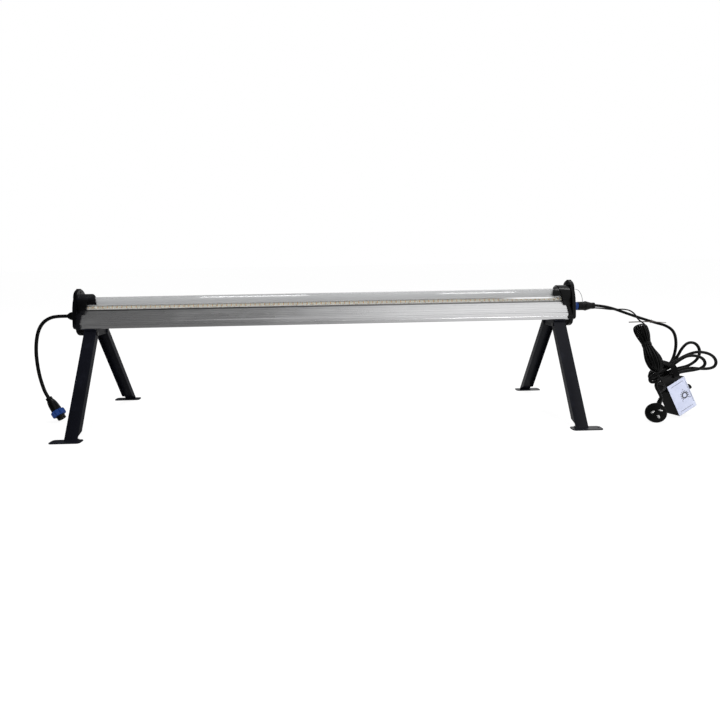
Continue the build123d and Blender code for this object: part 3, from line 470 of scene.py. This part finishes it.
oxide_finish = dark_finish(
    "blackened steel", shade=0.0180, roughness=0.30, grain_per_m=2400,
    grain_depth=0.00002, edge_shade=0.100, gloss=0.5)
oxide_finish.feed("Metallic", 0.8)
ring_finish = dark_finish(
    "blue ring plastic", shade=0.0180, tint=(0.60, 2.1, 8.8), roughness=0.24, grain_per_m=2000,
    grain_depth=0.00002, edge_shade=0.030, dust=0.1, gloss=0.12)
print("finishes so far:", len(bpy.data.materials))

# %% [markdown]
# ## Bright metals
# Screws and contacts are plated. A turned or stamped surface shows faint scratches, and the plating dulls
# in patches.


# %% Metal finishes
def metal_finish(name, colour, roughness):
    """Bare or plated metal with fine scratches and duller patches."""
    finish = Finish(name, Metallic=1.0)
    scratches = finish.noise(1, 3.0, (420, 2600, 900))
    patches = finish.noise(220, 4.0)
    dull = tuple(c * 0.7 for c in colour[:3]) + (1,)
    finish.feed("Base Color", finish.mix(finish.spread(patches, 0.45, 0.8), colour, dull))
    finish.feed("Roughness", roughness + 0.14 * patches + 0.06 * scratches)
    finish.relief(scratches, 0.00002, 0.5)
    return finish


zinc_finish = metal_finish("zinc plated steel", (0.56, 0.57, 0.58, 1), roughness=0.26)
contact_finish = metal_finish("plated contacts", (0.88, 0.88, 0.87, 1), roughness=0.12)
# Low metallic lets the near-white base show as diffuse white: plated colour, and partly a painted
# reflection on the pins.
contact_finish.feed("Metallic", 0.35)
wire_finish = metal_finish("steel wire", (0.36, 0.36, 0.37, 1), roughness=0.28)
print("finishes so far:", len(bpy.data.materials))

# %% [markdown]
# ## Light boards
# The boards carry white solder mask with bare pads, and two kinds of emitter alternate along them. Each
# emitter is a pale package with a well of yellow phosphor across its middle. The wells repeat at the
# emitters' pitch, so the distance to the nearest well's middle comes from the X coordinate, wrapped to one
# pitch.

# %% White solder mask
mask_finish = Finish("white solder mask", Roughness=0.32)
board_cloud = mask_finish.noise(60, 3.0)
pads = mask_finish.spread(mask_finish.noise(1, 1.0, (260, 120, 120)), 0.60, 0.63)
mask = mask_finish.mix(board_cloud, grey(0.88, (1, 0.98, 0.92)), grey(0.94, (1, 0.98, 0.93)))
mask_finish.feed("Base Color", mask_finish.mix(pads * 0.5, mask, (0.42, 0.36, 0.24, 1)))
mask_finish.relief(pads, 0.00003, 0.5)
print(mask_finish.material.name, "has", len(mask_finish.tree.nodes), "nodes")

# %% Emitters
CHIP_PITCH = 0.011
WELL_FROM, WELL_TO = 0.0011, 0.0014     # the well's edge, measured from its middle


def emitter_finish(name, package, phosphor, shift):
    """A package with a phosphor well; the shift brings X = 0 to the middle of one well."""
    finish = Finish(name, Roughness=0.22)
    along = finish.node("ShaderNodeMath", {"operation": "PINGPONG"},
                        {0: finish.axis("X") + shift, 1: CHIP_PITCH / 2})
    well = finish.spread(along, WELL_FROM, WELL_TO, 1.0, 0.0)
    cloud = finish.noise(900, 2.0)
    finish.feed("Base Color", finish.mix(well, finish.mix(cloud, package, grey(0.80)), phosphor))
    finish.feed("Roughness", 0.18 + 0.2 * cloud)
    finish.relief(1 - well, 0.0001, 0.4)
    return finish


white_emitter = emitter_finish("white emitter", package=(0.90, 0.89, 0.84, 1),
                               phosphor=(0.92, 0.88, 0.66, 1), shift=-CHIP_PITCH / 4)
warm_emitter = emitter_finish("warm emitter", package=(0.90, 0.74, 0.50, 1),
                              phosphor=(0.90, 0.60, 0.28, 1), shift=CHIP_PITCH / 4)
print("emitters repeat every", CHIP_PITCH * 1000, "mm")

# %% [markdown]
# ## Inside the bar and the dimmer
# The driver's board and the dimmer's board are the usual green, with raised tracks. Parts and insulating
# film are plain, because nobody sees them unless the object is taken apart.

# %% Circuit boards and driver parts
green_finish = Finish("green circuit board", Roughness=0.35)
tracks = green_finish.spread(green_finish.noise(1, 1.0, (330, 330, 10)), 0.52, 0.55)
green_finish.feed("Base Color", green_finish.mix(tracks, (0.01, 0.10, 0.035, 1), (0.02, 0.17, 0.06, 1)))
green_finish.relief(tracks, 0.00003, 0.5)
film_finish = dark_finish(
    "insulating film", shade=0.030, tint=(1, 0.9, 0.7), roughness=0.30, grain_per_m=600,
    grain_depth=0.00002, edge_shade=0.05)
driver_finish = dark_finish(
    "driver parts", shade=0.016, roughness=0.40, grain_per_m=900,
    grain_depth=0.00004, edge_shade=0.05)
print("finishes so far:", len(bpy.data.materials))

# %% [markdown]
# ## Strap and label
# The strap is woven: two sine waves across each other make its over-and-under relief. The dimmer's label
# is a pale printed film, with only a dial's scale, plain numbers and ruled lines on it.


# %% Woven strap
def weave(direction, scale):
    """Parallel threads as a wave from 0 to 1; a scale of 420 puts them 0.75 mm apart."""
    return strap_finish.node("ShaderNodeTexWave", {"wave_type": "BANDS", "bands_direction": direction},
                             {"Vector": strap_finish.position, "Scale": scale, "Distortion": 0.6})


strap_finish = Finish("woven strap", Roughness=0.85)
warp = weave("Y", 420.0)
weft = weave("DIAGONAL", 300.0)
fuzz = strap_finish.noise(1400, 3.0)
strap_finish.feed("Base Color", strap_finish.mix(warp * weft, grey(0.0020), grey(0.010)))
strap_finish.feed("Roughness", 0.72 + 0.2 * fuzz)
strap_finish.feed("Specular IOR Level", 0.1)
strap_finish.relief(0.6 * warp + 0.4 * weft + 0.4 * fuzz, 0.0003, 0.8)
print(strap_finish.material.name, "has", len(strap_finish.tree.nodes), "nodes")

# %% Printed film, ink and tie wires
label_finish = Finish("label film", Roughness=0.38)
label_cloud = label_finish.noise(45, 4.0)
label_finish.feed("Base Color", label_finish.mix(label_cloud, (0.56, 0.60, 0.78, 1), (0.66, 0.70, 0.86, 1)))
label_finish.feed("Roughness", 0.30 + 0.2 * label_cloud)
label_finish.relief(label_finish.noise(1500, 2.0), 0.00001, 0.4)

ink_finish = Finish("label ink", Roughness=0.45)
ink_finish.feed("Base Color", ink_finish.mix(ink_finish.noise(700, 3.0), grey(0.018, (1, 1, 1.3)),
                                             grey(0.05, (1, 1, 1.2))))

tie_finish = dark_finish(
    "tie wire sheath", shade=0.085, tint=(1, 0.84, 0.74), roughness=0.42, grain_per_m=900,
    grain_depth=0.00002, edge_shade=0.10)
black_tie = dark_finish(
    "black tie wire", shade=0.0020, roughness=0.35, grain_per_m=900,
    grain_depth=0.00002, edge_shade=0.008)
print("finishes:", len(bpy.data.materials))

# %% [markdown]
# ## Cord finishes
# The object's record names a few materials, such as the bar's aluminium, that can be swapped for others.
# A cord or wire gets its finish as a material of its curve.


def sheathe(cord, finish):
    """Give a cord or wire its finish."""
    cord.data.materials.append(finish.material)


# %% [markdown]
# ## Rounded edges
# Engineering solids have perfectly sharp edges, and nothing real does: a powder-coated edge is round by
# half a millimetre and catches a line of light. Each visible solid is copied, its loose triangles are
# merged into flat faces, and a Bevel modifier rounds the edges that turn by more than thirty degrees.


# %% Helpers that copy a solid and round its edges
def dress(piece, finish, smooth_angle=40):
    """Give a piece its finish, and shade it smooth except over sharp turns."""
    piece.data.materials.clear()
    piece.data.materials.append(finish.material)
    piece.data.shade_smooth()
    piece.data.set_sharp_from_angle(angle=math.radians(smooth_angle))


def add_piece(name, shape, finish, body="light", smooth_angle=40):
    """Turn a bmesh into an object that rides on a body."""
    mesh = bpy.data.meshes.new(name)
    shape.to_mesh(mesh)
    shape.free()
    piece = bpy.data.objects.new(name, mesh)
    bpy.context.scene.collection.objects.link(piece)
    dress(piece, finish, smooth_angle)
    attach(piece, body)
    return piece


MERGE_DISTANCE = 0.000002
FLAT_WITHIN = math.radians(0.4)
SHARP_TURN = math.radians(30)


def rounded(node_name, finish, width_mm, body="light", segments=2):
    """A copy of a solid with rounded edges, which is shown in its place."""
    shape = bmesh.new()
    shape.from_mesh(nodes[node_name].data)
    bmesh.ops.remove_doubles(shape, verts=shape.verts, dist=MERGE_DISTANCE)
    bmesh.ops.dissolve_limit(shape, angle_limit=FLAT_WITHIN, verts=shape.verts, edges=shape.edges)
    piece = add_piece(f"{node_name}_rounded", shape, finish, body)
    bevel = piece.modifiers.new("rounded edges", "BEVEL")
    bevel.width = width_mm / 1000
    bevel.segments = segments
    bevel.limit_method = "ANGLE"
    bevel.angle_limit = SHARP_TURN
    bevel.harden_normals = True
    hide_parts(node_name)
    print(f"{piece.name}: {len(piece.data.polygons)} faces, edges rounded by {width_mm} mm")


# %% [markdown]
# ## Bar, caps, stands
# The bar's ribs are real grooves in its section, so a very small rounding is enough. The caps are moulded
# and softer. The legs are folded sheet, and each rides on its own body.

# %% Bar and end caps
rounded("heatsink_extrusion", extrusion_finish, 0.12, segments=1)
for end in ("left", "right"):
    rounded(f"end_cap_{end}", cap_finish, 0.7, segments=3)
    dress(nodes[f"end_gasket_{end}"], gasket_finish)
dress(nodes["lens_cover"], cover_finish)

# %% Stands
for end in ("left", "right"):
    rounded(f"stand_bracket_{end}", coat_finish, 0.35)
    for side in ("front", "back"):
        leg_body = f"{side}_leg_{end}"
        rounded(f"leg_{side}_{end}", coat_finish, 0.45, leg_body)
        rounded(f"foot_{side}_{end}", coat_finish, 0.5, leg_body)

# %% [markdown]
# ## Small and hidden parts
# Screws, pins, boards and the bare steel safety wire are too small for rounded edges to show, or they are
# hidden. Their solids stay as they are and only get a finish.

# %% Parts whose solids show as they are
SHOWN_AS_THEY_ARE = {
    "led_board_front": mask_finish, "led_board_back": mask_finish, "led_chips_white": white_emitter,
    "led_chips_warm": warm_emitter, "board_screws": zinc_finish, "driver_board": green_finish,
    "driver_parts": driver_finish, "driver_insulator": film_finish, "end_cap_screws": zinc_finish,
    "hinge_pins": oxide_finish, "stand_bolts": oxide_finish, "stand_nuts": zinc_finish,
    "panel_nuts": connector_finish, "inlet_socket": connector_finish, "inlet_pins": contact_finish,
    # the output's contacts get the darker steel wire finish, as painted shade inside the socket
    "output_insert": connector_finish, "output_contacts": wire_finish, "dimmer_board": green_finish,
    "dimmer_pot": zinc_finish, "dimmer_screws": zinc_finish, "dimmer_label": label_finish,
    "dimmer_gland": connector_finish, "lanyard_wire": wire_finish,
}
for node_name, finish in SHOWN_AS_THEY_ARE.items():
    dress(nodes[node_name], finish)
print("shown as they are:", len(SHOWN_AS_THEY_ARE), "nodes")

# %% [markdown]
# ## Turned and moulded parts
# Connectors and plugs are round, so a profile spun about an axis makes them: each point of the profile is
# a distance along the axis and a radius. Finger grips are pressed in afterwards, by pulling the outer
# points towards the axis at regular angles.


# %% Helpers for spun pieces
def working_plane(origin_mm, x_dir, z_dir):
    """A working plane as a matrix, which takes its own millimetres to metres in the frame."""
    x_axis = Vector(x_dir).normalized()
    z_axis = Vector(z_dir)
    z_axis = (z_axis - x_axis * z_axis.dot(x_axis)).normalized()
    turned = Matrix((x_axis, z_axis.cross(x_axis), z_axis)).transposed().to_4x4()
    return Matrix.Translation(Vector(origin_mm) / 1000) @ turned @ Matrix.Scale(0.001, 4)


def spun(name, profile, plane, finish, body="light", closed=False, grips=0, grip_depth=0, grip_from=0,
         steps=96):
    """Turn a profile of (distance along, radius) about a plane's x axis, then press grips into it."""
    shape = bmesh.new()
    corners = [shape.verts.new((along, radius, 0)) for along, radius in profile]
    pairs = list(zip(corners, corners[1:])) + ([(corners[-1], corners[0])] if closed else [])
    lines = [shape.edges.new(pair) for pair in pairs]
    bmesh.ops.spin(shape, geom=corners + lines, cent=(0, 0, 0), axis=(1, 0, 0), angle=math.tau,
                   steps=steps, use_merge=True)
    bmesh.ops.remove_doubles(shape, verts=shape.verts, dist=0.001)
    for vert in shape.verts:
        radius = math.hypot(vert.co.y, vert.co.z)
        if grips and radius > grip_from:
            wave = max(0, math.cos(grips * math.atan2(vert.co.z, vert.co.y)))
            vert.co.yz = Vector(vert.co.yz) * (1 - grip_depth * wave ** 1.5 / radius)
    bmesh.ops.transform(shape, matrix=plane, verts=shape.verts)
    bmesh.ops.recalc_face_normals(shape, faces=shape.faces)
    piece = add_piece(name, shape, finish, body, smooth_angle=32)
    print(f"{name}: {len(profile)} profile points, {len(piece.data.polygons)} faces")
    return piece


# %% Output connector at the left, with its blue ring
output_plane = working_plane(OUTPUT_ROUTE[-1], (0.55, -0.2, -0.811), (0.8276, 0, 0.5613))
output_shell = spun("output_connector_shell", [
    (5, 0), (5, 5.9), (5.8, 6.9), (8.5, 8.3), (12, 9.4), (18, 10.6), (26, 11.3), (34.6, 11.6),
    (35.6, 11.4), (36, 10.8), (36, 9.5), (59.3, 9.5), (60, 8.9), (60, 7.9), (59.7, 7.6), (49, 7.6),
    (49, 0)], output_plane, connector_finish)
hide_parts("output_connector")
output_ring = spun("output_ring_lobed", [
    (36.8, 9.55), (36.8, 14.0), (37.4, 15.0), (38.8, 15.5), (48.4, 15.5), (49.9, 14.8), (50.4, 13.8),
    (50.4, 9.55)], output_plane, ring_finish, "output_ring", closed=True,
    grips=8, grip_depth=2.6, grip_from=12)
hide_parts("output_lock_ring")

# %% Input connector at the right
input_plane = working_plane((0, 0, 248), (1, 0, 0), (0, 0, 1))
input_shell = spun("input_connector_shell", [
    (599, 0), (599, 9.2), (599.8, 10.0), (601, 10.2), (606, 10.2), (606.4, 9.8), (607.4, 9.8),
    (607.8, 10.2), (613, 10.2), (615.5, 10.5), (617, 11.1), (618, 11.4), (619.2, 11.3), (621, 10.7),
    (626, 9.3), (631, 8.0), (632, 7.6), (632, 0)], input_plane, connector_finish,
    grips=20, grip_depth=0.5, grip_from=10.15)
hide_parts("input_connector")

# %% Mains plug: a domed disc
plug_face = Vector((722, -148, 22.1))
plug_out = Vector((-0.330, -0.908, 0.259)).normalized()
PLUG_DEPTH = 16
plug_disc = spun("plug_disc", [
    (0, 0), (0, 19.6), (0.3, 20.9), (1.0, 21.7), (2.2, 22.0), (5.4, 21.9), (6.6, 21.6), (9, 20.9),
    (12.5, 19.6), (14.6, 18.4), (15.6, 17.2), (PLUG_DEPTH, 15.4), (PLUG_DEPTH, 0)],
    working_plane(plug_face, -plug_out, (0.923, -0.253, 0.289)), connector_finish)
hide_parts("plug_body")

# %% The plug's ribbed neck
NECK_FROM, NECK_THICK, NECK_THIN = 12, 6.3, 4.5
NECK_TAPER = 1.6                        # how much thinner the ribs become towards the cord
RIBS, RIBS_FROM = 6, 13
PLAIN_LENGTH = 14                       # of the neck's line, what the ribs leave free
GROOVE_DEPTH = 1.1

plug_middle = plug_face - plug_out * PLUG_DEPTH / 2
neck_line = Vector(MAINS_ROUTE[-1]) - plug_middle
rib_pitch = (neck_line.length - PLAIN_LENGTH) / RIBS
neck_profile = [(NECK_FROM, 0), (NECK_FROM, NECK_THICK)]
for k in range(RIBS):
    start = RIBS_FROM + k * rib_pitch
    rib_radius = NECK_THICK - NECK_TAPER * k / RIBS
    neck_profile += [
        (start, rib_radius), (start + rib_pitch * 0.55, rib_radius - 0.1),
        (start + rib_pitch * 0.62, rib_radius - GROOVE_DEPTH),
        (start + rib_pitch * 0.92, rib_radius - GROOVE_DEPTH - 0.1)]
neck_profile += [(neck_line.length, NECK_THIN), (neck_line.length, 0)]
plug_neck = spun("plug_neck", neck_profile, working_plane(plug_middle, neck_line, plug_out),
                 connector_finish, steps=48)
print("plug neck is", round(neck_line.length - NECK_FROM, 1), "mm long with", RIBS, "ribs")

# %% [markdown]
# ## Dimmer
# The dimmer is a plain box with a knob on its side. Its label carries a printed dial, which is a ring with
# eleven ticks and plain numbers, and three ruled lines. The print is real geometry a few hundredths of a
# millimetre thick, lying on the film.

# %% Dimmer box
rounded("dimmer_case", case_finish, 0.9, segments=3)
rounded("dimmer_lid", case_finish, 0.5)
rounded("dimmer_knob", knob_finish, 0.25, "knob")

# %% Helpers for print on the label
label_plane = working_plane((794.7, -118.9, 3.4), (0.875, 0.18, 0.45), (0.165, -0.983, 0.08))
PRINT_FROM, PRINT_TO = 0.26, 0.30       # heights over the lid, just clear of the film
PRINT_DEPTH = PRINT_TO - PRINT_FROM
PRINT_MIDDLE = (PRINT_FROM + PRINT_TO) / 2
printed = bmesh.new()


def printed_ring(centre, inner, outer, steps):
    """A flat ring between two radii."""
    corners = [printed.verts.new((centre[0] + radius, centre[1], height_over))
               for radius, height_over in ((inner, PRINT_FROM), (outer, PRINT_FROM),
                                           (outer, PRINT_TO), (inner, PRINT_TO))]
    section = printed.faces.new(corners)
    bmesh.ops.spin(printed, geom=[section], cent=(*centre, 0), axis=(0, 0, 1), angle=math.tau,
                   steps=steps, use_merge=True)


def printed_bar(centre, size, turn=0.0):
    """A small flat rectangle, turned by an angle."""
    bar = bmesh.ops.create_cube(printed, size=1)["verts"]
    bmesh.ops.scale(printed, vec=(*size, PRINT_DEPTH), verts=bar)
    bmesh.ops.rotate(printed, matrix=Matrix.Rotation(turn, 3, "Z"), verts=bar)
    bmesh.ops.translate(printed, vec=(*centre, PRINT_MIDDLE), verts=bar)


def printed_number(text, centre, size):
    """A plain number from the built-in font."""
    letters = bpy.data.curves.new("number", "FONT")
    letters.body = text
    letters.size = size
    letters.align_x = letters.align_y = "CENTER"
    letters.extrude = PRINT_DEPTH / 2
    holder = bpy.data.objects.new("number", letters)
    flat = bpy.data.meshes.new_from_object(holder)
    flat.transform(Matrix.Translation((*centre, PRINT_MIDDLE)))
    printed.from_mesh(flat)
    bpy.data.objects.remove(holder)
    bpy.data.meshes.remove(flat)


# %% Print on the label
DIAL = Vector((32.4, 37.5))
RING_INNER, RING_OUTER, RING_STEPS = 4.8, 7.6, 40
TICK_RADIUS, TICK_SIZE = 9.6, (2.8, 1.9)
NUMBER_RADIUS, NUMBER_SIZE = 14.0, 5.0
LAST_TICK, NUMBER_EVERY = 10, 5
DIAL_FROM, DIAL_TURN = 225, 27          # degrees: the first tick, and from each tick to the next
SIDE_RULE = (47.2, 39), (0.6, 52)       # middle and size
END_RULES_X, END_RULE_SIZE = 25, (34, 0.8)

printed_ring(DIAL, RING_INNER, RING_OUTER, RING_STEPS)
for tick in range(LAST_TICK + 1):
    around = math.radians(DIAL_FROM - DIAL_TURN * tick)
    outward = Vector((math.cos(around), math.sin(around)))
    printed_bar(DIAL + outward * TICK_RADIUS, TICK_SIZE, around)
    if tick % NUMBER_EVERY == 0:
        printed_number(str(tick), DIAL + outward * NUMBER_RADIUS, NUMBER_SIZE)
printed_bar(*SIDE_RULE)
for rule_y in (8, 70):
    printed_bar((END_RULES_X, rule_y), END_RULE_SIZE)
bmesh.ops.recalc_face_normals(printed, faces=printed.faces)
bmesh.ops.transform(printed, matrix=label_plane, verts=printed.verts)
dial_print = add_piece("dial_print", printed, ink_finish)
print("dial print:", len(dial_print.data.polygons), "faces")

# %% [markdown]
# ## Hank tie, strap and small parts
# The hank's tie is a short length of sheathed wire, wound three times round its waist. The strap is soft,
# so its edges are rounder than those of the nuts, the gland and the plug's pins.

# %% Tie round the hank's waist
TIE_TURNS, POINTS_PER_TURN = 3, 12
TIE_FROM, TIE_LENGTH, TIE_RADIUS = 51.6, 6.6, 10.1
TIE_WIRE_R = 0.9
tie_points = TIE_TURNS * POINTS_PER_TURN
tie_route = []
for k in range(tie_points + 1):
    station = TIE_FROM + TIE_LENGTH * k / tie_points
    around = math.tau * k / POINTS_PER_TURN
    tie_route.append(hank_top + hank_axis * station + round_hank(around) * TIE_RADIUS)
waist_tie = cord_line("hank_tie_wire", tie_route, TIE_WIRE_R, resolution=4)[0]
sheathe(waist_tie, black_tie)
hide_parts("hank_tie")

# %% Rounded small parts
rounded("bundle_strap", strap_finish, 0.5, segments=3)
rounded("output_strain_nut", connector_finish, 0.25)
rounded("input_strain_nut", connector_finish, 0.25)
rounded("output_gland", connector_finish, 0.4)
rounded("input_lock_ring", ring_finish, 0.5, "input_ring")
rounded("plug_pins", contact_finish, 0.25)

# %% [markdown]
# ## Twist tie
# The twist tie on the mains lead is a wire in a flat, paper-thin sheath: two ends that stick out, and one
# turn round the lead. Its curve is a thin cord that is also extruded to both sides.

# %% Twist tie on the mains lead
RIBBON_HALF_THICK, RIBBON_LOOP_R = 0.35, 4.1
RIBBON_WIDTH = 2.6                      # on each side, in half thicknesses
loop_middle = Vector((762, -34.5, 211.5))
loop_normal = Vector((0.851, -0.426, -0.304)).normalized()
loop_up = (Vector((0, 0, 1)) - loop_normal * loop_normal.z).normalized()
loop_side = loop_normal.cross(loop_up)
ribbon_route = [Vector((712, -29, 210)), Vector((737, -31, 210.6))]
for k in range(9):
    around = math.tau * (0.25 + k / 8)
    outward = loop_up * math.cos(around) + loop_side * math.sin(around)
    ribbon_route.append(loop_middle + outward * RIBBON_LOOP_R)
ribbon_route += [Vector((774, -43, 210.8)), Vector((788, -52, 210))]
ribbon = cord_line("twist_tie_ribbon", ribbon_route, RIBBON_HALF_THICK, resolution=6)[0]
ribbon.data.extrude = RIBBON_WIDTH
sheathe(ribbon, tie_finish)
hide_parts("twist_tie")

# %% [markdown]
# ## Cord sheaths
# The three free leads get the sheath finish, and their lengths are printed.

# %% Cord facts
for cord in (output_lead, mains_lead, control_lead):
    sheathe(cord, sheath_finish)
print("cords:", [round(length, 3) for length in (output_length, mains_length, control_length)], "m")

# %% [markdown]
# ## Floor
# A plain pale floor takes the soft shadow. To the camera it glows a little, so that it stays white in the
# distance. Glossy rays see another glow, which rises from left to right, because the room's own light falls
# off to the left. That is what makes the satin bar run from dark to bright along its length.

# %% Floor
FLOOR_HALF_SIDE = 30
FLOOR_GLOW, GLOW_SHARE = 1.07, 0.86
LEFT_GLOW, MIDDLE_GLOW, RIGHT_GLOW = 0.12, 0.32, 0.92

floor_shape = bmesh.new()
bmesh.ops.create_grid(floor_shape, x_segments=1, y_segments=1, size=FLOOR_HALF_SIDE)
floor_mesh = bpy.data.meshes.new("floor")
floor_shape.to_mesh(floor_mesh)
floor_shape.free()
floor = bpy.data.objects.new("floor", floor_mesh)
bpy.context.scene.collection.objects.link(floor)

floor_finish = Finish("pale floor", Roughness=0.9)
floor_finish.feed("Base Color", grey(0.85))
floor_finish.feed("Specular IOR Level", 0.0)
seen = floor_finish.node("ShaderNodeLightPath", output="Is Camera Ray")
mirrored = floor_finish.node("ShaderNodeLightPath", output="Is Glossy Ray")
across = floor_finish.axis("X")
left_half = floor_finish.mix(floor_finish.spread(across, -2.0, 0.2), grey(LEFT_GLOW), grey(MIDDLE_GLOW))
room_glow = floor_finish.mix(floor_finish.spread(across, -0.2, 0.9), left_half, grey(RIGHT_GLOW))

plain = Number(floor_finish, floor_finish.shader.outputs[0])
white = floor_finish.node("ShaderNodeEmission", None, {"Color": grey(1.0), "Strength": FLOOR_GLOW})
reflected = floor_finish.node("ShaderNodeEmission", None, {"Color": room_glow, "Strength": 1.0})
shown = floor_finish.node("ShaderNodeMixShader", None, {0: seen * GLOW_SHARE, 1: plain, 2: white})
shown = floor_finish.node("ShaderNodeMixShader", None, {0: mirrored, 1: shown, 2: reflected})
floor_finish.give(floor_finish.tree.nodes["Material Output"], "Surface", shown)
floor_mesh.materials.append(floor_finish.material)
print("floor is", 2 * FLOOR_HALF_SIDE, "m wide")

# %% [markdown]
# ## World and lamps
# The background is white to the camera and through clear things. To everything else the room is dim at the
# left and bright at the right, like the floor's glow. Two broad soft boxes, in front and overhead, light
# the object without showing in it. Two smaller ones over the bar's ends do show, as highlights along the
# cover.

# %% World
# how far right a direction points, from and to, and the brightness that it adds there
DIM_SIDE = (-0.60, 0.10, 0.10, 0.24)
BRIGHT_SIDE = (-0.07, 0.14, 0.0, 0.86)

world = bpy.data.worlds.new("studio")
bpy.context.scene.world = world
world.use_nodes = True
sky = Nodes(world.node_tree)
background = sky.tree.nodes["Background"]
direction = sky.node("ShaderNodeTexCoord", output="Generated")
rightward = sky.node("ShaderNodeSeparateXYZ", None, {0: direction}, output="X")
room = sky.spread(rightward, *DIM_SIDE) + sky.spread(rightward, *BRIGHT_SIDE)
direct = sky.math("MAXIMUM", sky.node("ShaderNodeLightPath", output="Is Camera Ray"),
                  sky.node("ShaderNodeLightPath", output="Is Transmission Ray"))
strength = sky.node("ShaderNodeMix", {"data_type": "FLOAT"}, {0: direct, 2: room, 3: 1.0})
sky.give(background, "Strength", strength)
sky.give(background, "Color", grey(1))
print("the world has", len(sky.tree.nodes), "nodes")


# %% Lamps
def soft_box(name, stand, target, size, watts):
    """An area lamp that faces a target."""
    lamp = bpy.data.lights.new(name, "AREA")
    lamp.shape = "RECTANGLE"
    lamp.size, lamp.size_y = size
    lamp.energy = watts
    box = bpy.data.objects.new(name, lamp)
    aim = (Vector(target) - Vector(stand)).to_track_quat("-Z", "Y")
    box.matrix_world = Matrix.Translation(stand) @ aim.to_matrix().to_4x4()
    bpy.context.scene.collection.objects.link(box)
    return box


BAR = (0, 0, 0.2)
soft_box("front", (0.3, -3.2, 0.75), BAR, (2.6, 1.0), watts=34).visible_glossy = False
soft_box("overhead", (0, 0.9, 2.6), BAR, (2.6, 1.0), watts=24).visible_glossy = False
soft_box("ceiling left", (-0.44, 0.38, 2.2), (-0.44, 0, 0.28), (0.62, 0.60), watts=15)
soft_box("ceiling right", (0.87, -0.25, 2.2), (0.87, 0, 0.28), (0.44, 0.60), watts=11)
bpy.context.scene.view_settings.view_transform = "Standard"
print("lamps:", len(bpy.data.lights))
